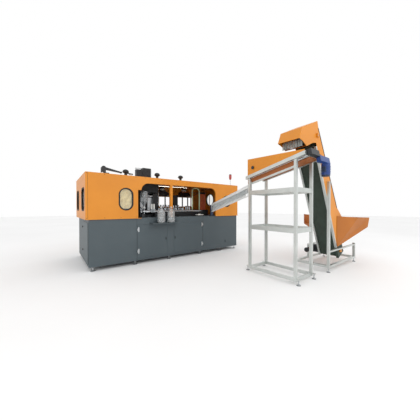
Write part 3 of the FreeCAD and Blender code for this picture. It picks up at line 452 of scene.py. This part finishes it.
# %% Run a tree and keep its result as a plain mesh
def grown(tree, source, **inputs):
    holder = bpy.data.objects.new("holder", source)
    bpy.context.scene.collection.objects.link(holder)
    change = holder.modifiers.new("grow", "NODES")
    change.node_group = tree
    sockets = {item.name: item.identifier for item in tree.interface.items_tree if item.in_out == "INPUT"}
    for name, value in inputs.items():
        change[sockets[name]] = value
    view = bpy.context.evaluated_depsgraph_get()
    mesh = bpy.data.meshes.new_from_object(holder.evaluated_get(view))
    bpy.data.objects.remove(holder)
    return mesh


def point_cloud(places):
    mesh = bpy.data.meshes.new("places")
    mesh.from_pydata([at(*place) for place in places], [], [])
    return mesh


FASTENERS = fastener_tree()


def fasten(name, places, radius_mm, facing, finish, sides=12, height_mm=2.0):
    mesh = grown(
        FASTENERS, point_cloud(places), Radius=radius_mm / 1000, Height=height_mm / 1000,
        Sides=sides, Facing=Vector(facing), Finish=MATERIALS[finish])
    return keep(name, mesh, finish)


def spaced(start_at, end_at, pitch):
    count = max(1, round((end_at - start_at) / pitch))
    return [start_at + (end_at - start_at) * i / count for i in range(count + 1)]


# %% [markdown]
# Every sheet of the orange body is held along its edges by button head screws.  They
# could be modelled one by one; rows of points at an even pitch say the same in a line.
# The rear ones lie nearly flush, since that sheet is the line's outermost face.

# %% Panel screws on the orange body
OUT_Y = -OVERHANG
BACK_Y = CABINET_W + OVERHANG
LEFT_END = -60
RIGHT_END = CABINET_L + 40
SCREW_ROWS = (DECK_Z + 24, ROOF_Z - 24)
front_places = [(x, OUT_Y, z) for x in spaced(-36, 960, 332) for z in SCREW_ROWS]
front_places += [(x, OUT_Y, SCREW_ROWS[1]) for x in spaced(1180, 3300, 424)]
front_places += [(x, OUT_Y, z) for x in spaced(3440, 4280, 280) for z in SCREW_ROWS]
fasten("front_panel_screws", front_places, 5.0, (0, -1, 0), "black_enamel")
end_places = [(LEFT_END, y, z) for y in spaced(40, 1900, 310) for z in SCREW_ROWS]
fasten("left_panel_screws", end_places, 5.0, (-1, 0, 0), "black_enamel")
right_places = [(RIGHT_END, y, z) for y in spaced(40, 1900, 310) for z in SCREW_ROWS]
fasten("right_panel_screws", right_places, 5.0, (1, 0, 0), "black_enamel")
back_places = [(x, BACK_Y, z) for x in spaced(-30, 4280, 431) for z in SCREW_ROWS]
fasten("rear_panel_screws", back_places, 5.0, (0, 1, 0), "black_enamel", height_mm=0.6)
roof_places = [(x, y, ROOF_Z) for x in spaced(-30, 4250, 428) for y in (40, CABINET_W - 40)]
fasten("roof_panel_screws", roof_places, 5.0, (0, 0, 1), "zinc_plate")

# %% [markdown]
# ## Seams, flanges and latches
#
# Sheet metal machines read as panels because of the dark lines where folded edges meet.
# A real seam is a gap; at this scale a thin, near black strip lying on the surface gives
# the same line and keeps the carried-over sheet untouched.

# %% Seams of the cabinet and of the orange body
SEAM = 4.0
PROUD = 0.6


def front_seam(x, z0, z1, y=0.0):
    return ((x - SEAM / 2, y - PROUD, z0), (x + SEAM / 2, y + 0.2, z1))


seams = [front_seam(x, 100, DECK_Z - 4) for x in (985, 2905)]
seams += [front_seam(-17, DECK_Z + 2, ROOF_Z - 3, OUT_Y)]
seams += [((-PROUD, y, 120), (0.2, y + SEAM, DECK_Z - 6)) for y in (42, 952)]
seams += [((CABINET_L - 0.2, 960, 120), (CABINET_L + PROUD, 960 + SEAM, DECK_Z - 6))]
for x in (1060, 2130, 3200):
    seams.append(((x, CABINET_W - 0.2, 110), (x + SEAM, CABINET_W + PROUD, DECK_Z - 6)))
keep("panel_seams", blocks(seams, 0), "black_rubber")

FLANGE = 10.0
flange_x = ((LEFT_END, 1087), (3364, RIGHT_END))
flange = [((x0, OUT_Y, DECK_Z - FLANGE), (x1, OUT_Y + 14, DECK_Z)) for x0, x1 in flange_x]
flange += [((LEFT_END, OUT_Y, DECK_Z - FLANGE), (LEFT_END + 16, BACK_Y, DECK_Z))]
keep("orange_return_flange", blocks(flange, 1.0), "orange_powder_coat")

# %% [markdown]
# The left end panel lifts off once two round quarter-turn locks are opened, and a small
# lever latch holds each door and the right-hand cabinet sheet.  A latch rides on the door
# that it closes, so it swings with it.

# %% Locks and latches
lock = [(0, 0), (22, 0), (22, 6), (17, 12), (17, 16), (0, 16)]
locks = [turned(lock, at(-12, 900, z), (-1, 0, 0), 20) for z in (350, 900)]
keep("end_panel_locks", merged(locks), "black_nylon", smooth=True)
for name, x, z, body in (
        ("cabinet_latch", 3770, 290, LINE), ("left_door_latch", 1730, 560, "left_door"),
        ("right_door_latch", 1990, 560, "right_door")):
    keep(name, blocks([((x - 9, -14, z - 34), (x + 9, 0, z + 34))], 3.0), "black_nylon", body)

# %% [markdown]
# ## Sloping and folded pieces
#
# The unscrambler and the elevator stand at an angle, so their fittings are cut from flat
# outlines instead of square slabs.  `plates` pushes any flat outline sideways into a
# solid: an outline drawn in y and z is thickened along x, one drawn in x and z along y.

# %% Plates from flat outlines
def plates(outlines, axis, low, high):
    build = bmesh.new()
    for outline in outlines:
        rings = []
        for depth in (low, high):
            ring = []
            for u, z in outline:
                ring.append(build.verts.new(at(depth, u, z) if axis == "x" else at(u, depth, z)))
            rings.append(ring)
        build.faces.new(rings[0])
        build.faces.new(list(reversed(rings[1])))
        for i, vert in enumerate(rings[0]):
            j = (i + 1) % len(outline)
            build.faces.new((rings[0][j], vert, rings[1][i], rings[1][j]))
    bmesh.ops.recalc_face_normals(build, faces=build.faces[:])
    mesh = bpy.data.meshes.new("plates")
    build.to_mesh(mesh)
    build.free()
    return mesh


def strip(start_at, end_at, top, bottom):
    # Four-cornered outline following a sloping line, measured down from it.
    (u0, z0), (u1, z1) = start_at, end_at
    return [(u0, z0 - top), (u1, z1 - top), (u1, z1 - bottom), (u0, z0 - bottom)]


# %% [markdown]
# ## The blown bottles
#
# A five litre PET bottle is a skin under a millimetre thick, stiffened by flutes down its
# sides and by a ring at the waist.  It is drawn here as a fine ring of points at every
# height, the radius rippling with the flutes, once for the outside and once for the
# inside, joined at the lip so that light really passes through a thin wall.  Two stand on
# the ledge as samples and one hangs neck down over its spindle.

# %% Fluted bottles
BODY = [
    (0, 1), (60, 1), (82, 3), (93, 12), (96, 26), (96, 40), (92, 46), (96, 52), (96, 100), (96, 150),
    (92, 156), (96, 162), (96, 200), (96, 240), (92, 262), (80, 288), (62, 316), (44, 342), (30, 360),
    (21, 370), (21, 378), (27, 381), (27, 385), (21, 388), (21, 403),
]
STEPS = 72
FLUTES = 18
FLUTE_DEEP = 5.0
FLUTED = (52, 240)
WALL = 1.2


def bottle(x, y, z, flip=False):
    build = bmesh.new()
    rings = []
    inside = [(max(r - WALL, 0), h + (WALL if h < 30 else 0)) for r, h in reversed(BODY)]
    for r, h in BODY + inside:
        deep = FLUTE_DEEP if FLUTED[0] < h < FLUTED[1] else 0.0
        ring = []
        for i in range(STEPS):
            turn = math.tau * i / STEPS
            radius = r - deep * (0.5 + 0.5 * math.cos(turn * FLUTES))
            height = -h if flip else h
            place = at(x + radius * math.cos(turn), y + radius * math.sin(turn), z + height)
            ring.append(build.verts.new(place))
        rings.append(ring)
    for below, above in zip(rings, rings[1:]):
        for i in range(STEPS):
            j = (i + 1) % STEPS
            build.faces.new((below[i], below[j], above[j], above[i]))
    bmesh.ops.remove_doubles(build, verts=build.verts[:], dist=1e-5)
    bmesh.ops.recalc_face_normals(build, faces=build.faces[:])
    mesh = bpy.data.meshes.new("bottle")
    build.to_mesh(mesh)
    build.free()
    return mesh


LEDGE_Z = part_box("bottles")[0].z * 1000
SAMPLE_X = (1545, 1813)
SAMPLE_Y = -122
HUNG_X, HUNG_Y = 1280, 350
shown = [bottle(x, SAMPLE_Y, LEDGE_Z) for x in SAMPLE_X] + [bottle(HUNG_X, HUNG_Y, 1789, True)]
blown = keep("blown_bottles", merged(shown), "blown_pet", smooth=True)
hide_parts("bottles")

# %% [markdown]
# The sample bottles keep a tamper ring below the neck and a moulded carrying loop.  The
# ring is a short turned band and the loop a bent pipe.  The hung bottle sits on a white
# acetal chuck that grips its neck.

# %% Caps and handles of the sample bottles
neck_ring = [(22, 0), (24, 0), (24, 14), (22, 14)]
rings = [turned(neck_ring, at(x, SAMPLE_Y, LEDGE_Z + 388), steps=40) for x in SAMPLE_X]
keep("bottle_neck_rings", merged(rings), "white_acetal", smooth=True)
handle = [(-60, 300), (-62, 372), (-20, 380)]
loops = [[(x + dx, SAMPLE_Y, LEDGE_Z + dz) for dx, dz in handle] for x in SAMPLE_X]
keep("bottle_handles", pipes(loops, 4.0), "blown_pet", smooth=True)
chuck = [(0, 0), (34, 0), (34, 20), (26, 26), (26, 52), (0, 52)]
keep("hung_bottle_chuck", turned(chuck, at(HUNG_X, HUNG_Y, 1340)), "white_acetal", smooth=True)

# %% [markdown]
# ## Inside the bay
#
# The blow station stands in the dark left end of the bay.  Black sheets at its back, its
# side, under the roof and across its upper part are painted shade standing in for that
# darkness.  Above the clamp sit the stretch cylinder, the high pressure valves and their hoses.

# %% Black sheets of painted shade round the blow station
# painted shade: black sheets standing in for the shade at the back, side and top of the blow station
shade_sheets = [
    ((1092, 1290, DECK_Z + 2), (2080, 1298, ROOF_Z - 30)),
    ((1084, 60, DECK_Z + 2), (1090, 1298, ROOF_Z - 30)),
    ((1100, 200, ROOF_Z - 34), (1720, 1290, ROOF_Z - 28)),
    ((1730, 700, 1320), (1738, 1290, ROOF_Z - 30)),
]
keep("blow_station_shade_sheets", blocks(shade_sheets, 1.0), "black_enamel")
# painted shade: a black screen standing in for the shade across the upper blow station
upper_shade_sheet = [
    ((1120, 500, 1775), (1720, 506, 2068)),
    ((1104, 500, 1775), (1120, 520, 2070)),
    ((1720, 500, 1775), (1736, 520, 2070)),
]
keep("upper_shade_screen", blocks(upper_shade_sheet, 1.0), "black_nylon")

# %% [markdown]
# The stretch cylinder is a tie-rod air cylinder with two wide caps, so it is turned.  The
# high pressure valves are cast blocks in a row, each closed by a plated plug.

# %% Stretch cylinder, valves and their fittings
barrel = [(0, 0), (44, 0), (44, 12), (36, 14), (36, 44), (44, 46), (44, 58), (0, 58)]
keep("stretch_cylinder", turned(barrel, at(1410, 820, 2002)), "cast_tool_aluminium", smooth=True)
VALVE_X = (1180, 1270, 1500, 1590)
valves = [((x, 560, 1772), (x + 62, 640, 1872)) for x in VALVE_X]
valves += [((1150, 150, DECK_Z + 2), (1230, 230, 1200)), ((1560, 330, DECK_Z + 2), (1680, 420, 1230))]
keep("blow_valves", blocks(valves, 4.0), "black_enamel")
valve_cap = [(0, 0), (22, 0), (22, 30), (14, 34), (0, 34)]
caps = [turned(valve_cap, at(x + 31, 558, 1820), (0, -1, 0), 20) for x in VALVE_X]
keep("blow_valve_caps", merged(caps), "zinc_plate", smooth=True)

# %% [markdown]
# Rubber hoses bring air to the valves, and painted pipes run along the top of the
# bay beside a tube light.  A hose is a smooth curve through a few given points, swept by
# a round; more points would only make it kink.

# %% Hoses and cables of the bay
hoses = [
    [(1200, 600, 1870), (1200, 560, 1980), (1300, 520, 2020), (1380, 760, 1990)],
    [(1300, 600, 1870), (1310, 560, 1960), (1500, 540, 2000), (1620, 600, 1960), (1621, 600, 1872)],
    [(1190, 190, 1200), (1190, 170, 1300), (1140, 300, 1400), (1130, 510, 1500)],
    [(1620, 370, 1230), (1640, 300, 1330), (1710, 420, 1420), (1716, 700, 1500)],
    [(1700, 480, 1180), (1800, 420, 1150), (1900, 440, 1140), (1990, 470, 1180)],
    [(2080, 470, 1200), (2160, 420, 1150), (2300, 430, 1140), (2420, 470, 1200)],
]
keep("bay_hoses", pipes(hoses, 8.0), "black_rubber", smooth=True)
lines = [
    [(1740, 640, 2040), (2100, 700, 2050), (2600, 760, 2040), (3200, 800, 2046)],
    [(1740, 900, 2020), (2200, 940, 2030), (2900, 960, 2024), (3300, 990, 2040)],
]
keep("bay_air_lines", pipes(lines, 13.0), "brown_orange_coat", smooth=True)
tube = [[(1960, 1020, 2030), (2380, 1020, 2030), (2960, 1020, 2030)]]
keep("bay_tube_light", pipes(tube, 13.0), "tube_light", smooth=True)
tray = [((1940, 990, 2046), (2980, 1050, 2056))]
keep("bay_light_tray", blocks(tray, 1.0), "white_enamel")
collar = [(72, 0), (96, 6), (96, 30), (84, 44), (72, 50), (72, 0)]
collars = [turned(collar, at(x, 1730, 1962)) for x in (2385, 3240)]
keep("hood_collars", merged(collars), "white_enamel", smooth=True)

# %% [markdown]
# Brown-orange painted tubes carry the oven's reflectors and the preform rail behind the
# long opening.  They are straight sweeps with the same helper as the hoses.

# %% Painted tube frame round the oven
frame_tubes = [
    [(2880, 900, 1985), (3300, 900, 1985), (3900, 900, 1985)],
    [(2900, 1250, 1900), (3900, 1250, 1900)],
]
posts = ((3040, 900), (3470, 700), (3560, 900), (3700, 1100))
frame_tubes += [[(x, y, 1295), (x, y, 2060)] for x, y in posts]
frame_tubes += [[(3040, 900, 1700), (3560, 900, 1985)]]
keep("oven_tube_frame", pipes(frame_tubes, 16.0), "brown_orange_coat", smooth=True)

# %% [markdown]
# Between the blow station and the transfer a bright column reads as a string of beads: a
# roller chain seen from its edge.  Turning one long beaded profile costs far less than
# linking a chain, and gives the same glints.

# %% Chain column between the stations
LINK = 25
LINKS = 38
links = [(0, 0)]
for i in range(LINKS):
    foot = i * LINK
    links += [(9, foot + 2), (13, foot + 7), (13, foot + 14), (9, foot + 20)]
links += [(0, LINKS * LINK)]
keep("bead_column", turned(links, at(1750, 550, 1112), steps=20), "ground_steel", smooth=True)

# %% [markdown]
# The transfer bed carries a row of small air cylinders, one per station, each a steel
# barrel with a black head.  One node tree stands the same cylinder on
# every point of a row, with its height and thickness as named inputs and a fixed seed for
# the slight turn that keeps the row from looking stamped.

# %% The cylinder tree
def cylinder_tree():
    tree = bpy.data.node_groups.new("air cylinders", "GeometryNodeTree")
    tree.interface.new_socket("Points", in_out="INPUT", socket_type="NodeSocketGeometry")
    for name, kind in (
            ("Radius", "NodeSocketFloat"), ("Height", "NodeSocketFloat"), ("Seed", "NodeSocketInt"),
            ("Barrel", "NodeSocketMaterial"), ("Head", "NodeSocketMaterial")):
        tree.interface.new_socket(name, in_out="INPUT", socket_type=kind)
    tree.interface.new_socket("Cylinders", in_out="OUTPUT", socket_type="NodeSocketGeometry")
    given = add(tree, "NodeGroupInput").outputs
    half = add(tree, "ShaderNodeMath", {"operation": "MULTIPLY", 1: 0.5}, {0: given["Height"]})
    wide = add(tree, "ShaderNodeMath", {"operation": "MULTIPLY", 1: 2.4}, {0: given["Radius"]})
    block = add(tree, "ShaderNodeCombineXYZ", {}, {
        "X": wide.outputs[0], "Y": wide.outputs[0], "Z": given["Radius"]})
    barrel = add(tree, "GeometryNodeMeshCylinder", {"Vertices": 16}, {
        "Radius": given["Radius"], "Depth": given["Height"]})
    steel = add(tree, "GeometryNodeSetMaterial", {}, {
        "Geometry": barrel.outputs["Mesh"], "Material": given["Barrel"]})
    head = add(tree, "GeometryNodeMeshCube", {}, {"Size": block.outputs[0]})
    black = add(tree, "GeometryNodeSetMaterial", {}, {
        "Geometry": head.outputs["Mesh"], "Material": given["Head"]})
    rise = add(tree, "ShaderNodeCombineXYZ", {}, {"Z": half.outputs[0]})
    raised = add(tree, "GeometryNodeTransform", {}, {
        "Geometry": black.outputs["Geometry"], "Translation": rise.outputs[0]})
    both = add(tree, "GeometryNodeJoinGeometry", {}, {"Geometry": raised.outputs["Geometry"]})
    tree.links.new(steel.outputs["Geometry"], both.inputs["Geometry"])
    spin = add(tree, "FunctionNodeRandomValue", {"data_type": "FLOAT"}, {"Seed": given["Seed"]})
    spin.inputs[2].default_value = -0.12
    spin.inputs[3].default_value = 0.12
    turn = add(tree, "ShaderNodeCombineXYZ", {}, {"Z": spin.outputs[1]})
    spread = add(tree, "GeometryNodeInstanceOnPoints", {}, {
        "Points": given["Points"], "Instance": both.outputs["Geometry"], "Rotation": turn.outputs[0]})
    real = add(tree, "GeometryNodeRealizeInstances", {}, {"Geometry": spread.outputs["Instances"]})
    tree.links.new(real.outputs["Geometry"], add(tree, "NodeGroupOutput").inputs["Cylinders"])
    return tree


CYLINDERS = cylinder_tree()
for name, places, radius, height in (
        ("bed_air_cylinders", [(1960 + i * 84, 860, 1392) for i in range(8)], 18, 84),
        ("bed_front_cylinders", [(1830 + i * 110, 500, 1325) for i in range(7)], 13, 66),
        ("infeed_cylinders", [(2730 + i * 70, 700, 1350) for i in range(3)], 20, 110)):
    mesh = grown(
        CYLINDERS, point_cloud(places), Radius=radius / 1000, Height=height / 1000, Seed=7,
        Barrel=MATERIALS["ground_steel"], Head=MATERIALS["black_nylon"])
    keep(name, mesh, "ground_steel")

# %% [markdown]
# The left window shows a cream coloured board, crumpled like folded card; its glow is
# painted light standing in for light falling on it.  A coarse grid whose corners step back
# and forth catches the light the same way.  The end windows show two upright painted bars.

# %% Behind the windows
FOLD_X = (600, 640, 700, 760, 820, 880)
FOLD_Z = (1332, 1420, 1500, 1590, 1680, 1790)


def folded_board():
    # Every other corner stands 20 mm back, and each is nudged a little more by its place.
    build = bmesh.new()
    rows = []
    for k, z in enumerate(FOLD_Z):
        row = []
        for i, x in enumerate(FOLD_X):
            depth = 24 + 20 * ((i + k) % 2) + (i * 7 + k * 5) % 11
            row.append(build.verts.new(at(x, depth, z)))
        rows.append(row)
    for below, above in zip(rows, rows[1:]):
        for i in range(len(FOLD_X) - 1):
            build.faces.new((below[i], below[i + 1], above[i + 1], above[i]))
    mesh = bpy.data.meshes.new("folded board")
    build.to_mesh(mesh)
    build.free()
    return mesh


# the board's glow is painted light
keep("cabinet_folded_board", folded_board(), "cream_board_painted_glow")
bars = [((4250, y, 1420), (4262, y + 32, 1930)) for y in (380, 1480)]
keep("end_window_bars", blocks(bars, 2.0), "brown_orange_coat")

# %% [markdown]
# The chute lands in a folded dark blue sleeve, bolted to the deck by a flat plate.  Three
# thin slabs make the sleeve and two more the plates.

# %% Infeed bracket at the foot of the chute
sleeve = [((3194, -4, DECK_Z + 4), (3281, 1, 1450))]
sleeve += [((x, 1, DECK_Z + 4), (x + 4, 24, 1450)) for x in (3194, 3277)]
keep("chute_foot_cover", blocks(sleeve, 1.5), "navy_enamel")
base = [((3150, -20, DECK_Z), (3330, 60, DECK_Z + 14)), ((2740, 10, DECK_Z), (2960, 40, DECK_Z + 12))]
keep("chute_foot_plate", blocks(base, 2.0), "black_enamel")

# %% [markdown]
# ## On the roof
#
# The valve box breathes through pressed fins, it and the arm's base each carry a white
# dial, and the beacon has a black cap over its red lens.

# %% Roof fittings
CORNER = at(0, 0, 0) * 1000


def measured(name):
    # A carried-over piece's box, in millimetres from the cabinet's corner.
    low, high = (v * 1000 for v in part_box(name))
    return [(low[i] - CORNER[i], high[i] - CORNER[i]) for i in range(3)]


box_x, box_y, box_z = measured("roof_valve_box")
print("valve box x %.0f-%.0f y %.0f-%.0f z %.0f-%.0f" % (*box_x, *box_y, *box_z))
FIN_PITCH = 22
fins = []
for x in range(int(box_x[0]) + 150, int(box_x[1]) - 20, FIN_PITCH):
    fins.append(((x, box_y[0] - 4, box_z[0] + 20), (x + 8, box_y[0] + 2, box_z[1] - 20)))
keep("valve_box_fins", blocks(fins, 0.5), "black_nylon")
dial = [(0, 0), (26, 0), (28, 4), (28, 16), (24, 18), (0, 17)]
dial_places = [(box_x[0] + 40, box_y[0] - 1, box_z[0] + 70), (330, 440, ROOF_Z + 60)]
dials = [turned(dial, at(*place), (0, -1, 0), 24) for place in dial_places]
keep("roof_gauges", merged(dials), "white_acetal", smooth=True)
conduit = [[(860, 430, 2222), (940, 400, 2205), (1040, 400, 2200), (box_x[0] + 10, 440, 2205)]]
keep("roof_conduit", pipes(conduit, 16.0), "black_rubber", smooth=True)
lamp_x, lamp_y, lamp_z = measured("beacon_lamp")
cap = [(0, 0), (40, 0), (40, 8), (30, 21.5), (0, 22)]
cap_foot = at(sum(lamp_x) / 2, sum(lamp_y) / 2, lamp_z[0] + 158)
keep("beacon_cap", turned(cap, cap_foot), "black_nylon", smooth=True)

# %% [markdown]
# ## Unscrambler and elevator
#
# Below the rails a brown plate is painted shade, standing in for the orange bed seen from
# below in shadow, and it is closed off by a lighter rail.  A black strip along the elevator's
# cover is painted shade, and strips of clear PVC hang in the hood's mouth so that preforms drop through
# without bouncing out.

# %% Painted shade plate and lower rail of the unscrambler
HIGH_END, LOW_END = (-3060, 2272), (-1905, 2031)
# painted shade: a brown plate standing in for the orange bed seen from below in shadow
shade_plate = plates([strip(HIGH_END, LOW_END, 66, 156)], "x", 2777, 2783)
keep("unscrambler_shade_plate", shade_plate, "brown_orange_coat")
rail = plates([strip(HIGH_END, LOW_END, 156, 192)], "x", 2777, 2806)
keep("unscrambler_lower_rail", rail, "anodised_aluminium")
knob = [(0, 0), (26, 0), (26, 22), (34, 26), (34, 40), (0, 40)]
keep("guard_bearing", turned(knob, at(2724, -2110, 2190), (-1, 0, 0), 24), "black_nylon", smooth=True)
end_cap = [(0, 0), (16, 0), (16, 34), (0, 34)]
ends = [turned(end_cap, at(x, -1925, 2014), (0, 1, 0), 20) for x in (2750, 2808, 2924)]
keep("roller_end_caps", merged(ends), "black_nylon", smooth=True)

# %% [markdown]
# The black strip with square ends along the edge of the cover is painted shade.  The
# curtain's strips hang in two layers, five millimetres apart.

# %% Painted shade strip and curtain of the elevator
# painted shade: a black strip standing in for the cover's edge lying in shadow
cover_shade_outline = [[(3515, 2915), (4410, 1355), (4391, 1344), (3494, 2907)]]
keep("elevator_cover_shade_strip", plates(cover_shade_outline, "y", -3083, -3080.2), "black_rubber")
curtain = []
for k in range(8):
    x, y = 2926 + (k % 2) * 5, -3070 + k * 52
    curtain.append(((x, y, 2462), (x + 3, y + 44, 2600)))
keep("hood_curtain", blocks(curtain, 0.5), "curtain_pvc")

# %% [markdown]
# Both pieces follow the belt's slope, so their corners are given along the belt and off
# it.  `on_belt` turns such a pair into upright coordinates, which is easier to read and to
# change than four sloping points.

# %% Belly sheet under the belt and the dark cover of the tail
FOOT, TOP = (4540.0, 230.0), (3425.0, 2610.0)
RUN = math.hypot(FOOT[0] - TOP[0], FOOT[1] - TOP[1])
DOWN = ((FOOT[0] - TOP[0]) / RUN, (FOOT[1] - TOP[1]) / RUN)


def on_belt(s, h):
    return (TOP[0] + DOWN[0] * s - DOWN[1] * h, TOP[1] + DOWN[1] * s + DOWN[0] * h)


def belt_plate(s0, s1, h0, h1):
    return [on_belt(s0, h0), on_belt(s1, h0), on_belt(s1, h1), on_belt(s0, h1)]


keep("belly_sheet", plates([belt_plate(40, RUN - 10, -6, -2)], "y", -3039, -2681), "belt_pvc")
tail = plates([belt_plate(RUN - 262, RUN + 6, -44, 256)], "y", -3084, -3080.2)
tail_end = plates([belt_plate(RUN - 262, RUN + 6, -44, -40.2)], "y", -3084, -3036)
keep("tail_cover", merged([tail, tail_end]), "belt_pvc")

# %% [markdown]
# The geared motor hangs upright beside the unscrambler.  Its fan cover is a turned cup and
# its terminal box a block with well rounded edges.

# %% Motor fittings
motor_x, motor_y = 3388, -3276
fan = [(0, 0), (66, 0), (74, 8), (74, 44), (0, 44)]
keep("motor_fan_cover", turned(fan, at(motor_x, motor_y, 1930)), "navy_enamel", smooth=True)
terminal = [((motor_x - 110, motor_y - 40, 2010), (motor_x - 70, motor_y + 30, 2100))]
keep("motor_terminal_box", blocks(terminal, 5.0), "navy_enamel")

# %% [markdown]
# Each steel foot stands on a moulded rubber pad, seven centimetres across.  Turning the pad's
# rim round the foot leaves the carried-over foot untouched inside it.

# %% Black pads under the feet
PAD_R = 34
pad = [(PAD_R * 0.45, 8.2), (PAD_R + 1, 8.2), (PAD_R + 2, 7), (PAD_R + 2, 0.2), (PAD_R + 0.5, 0.2)]
feet = [(x, y) for x in (2750, 3300) for y in (-1931, -3109)]
feet += [(x, y) for x in (3930, 5380) for y in (-3105, -2375)]
pads = merged([turned(pad, at(x, y, 0), steps=28) for x, y in feet])
keep("foot_pads", pads, "black_rubber", smooth=True)

# %% [markdown]
# ## Floor and light
#
# A pale floor and a soft, nearly shadowless studio: one big light high in front and to
# the right for shape, one from the left to open the shadows, and a bright even sky.

# %% Studio
def studio_floor():
    made, tree, shader, place = start("studio_floor", Roughness=0.8, Base_Color=linear("F6F6F6"))
    drift(tree, place, shader, "F7F7F7", "F3F3F3", 4000)
    mesh = bpy.data.meshes.new("floor")
    reach = 40
    corners = [(-reach, -reach), (reach, -reach), (reach, reach), (-reach, reach)]
    mesh.from_pydata([(x, y, -0.001) for x, y in corners], [], [(0, 1, 2, 3)])
    mesh.materials.append(made)
    floor = bpy.data.objects.new("floor", mesh)
    bpy.context.scene.collection.objects.link(floor)


studio_floor()
sky = bpy.data.worlds.new("sky")
sky.use_nodes = True
sky.node_tree.nodes["Background"].inputs["Color"].default_value = (1, 1, 1, 1)
sky.node_tree.nodes["Background"].inputs["Strength"].default_value = 1.0
bpy.context.scene.world = sky
bpy.context.scene.view_settings.view_transform = "Standard"


def soft_light(name, place, aim, size, power):
    data = bpy.data.lights.new(name, "AREA")
    data.shape = "SQUARE"
    data.size = size
    data.energy = power
    lamp = bpy.data.objects.new(name, data)
    lamp.location = place
    lamp.rotation_euler = (Vector(aim) - Vector(place)).to_track_quat("-Z", "Y").to_euler()
    bpy.context.scene.collection.objects.link(lamp)


soft_light("key", (1.5, -9.0, 6.5), (0, 0, 1), 5.0, 200)
soft_light("fill", (-9.0, -4.0, 4.0), (0, 0, 1), 5.0, 60)
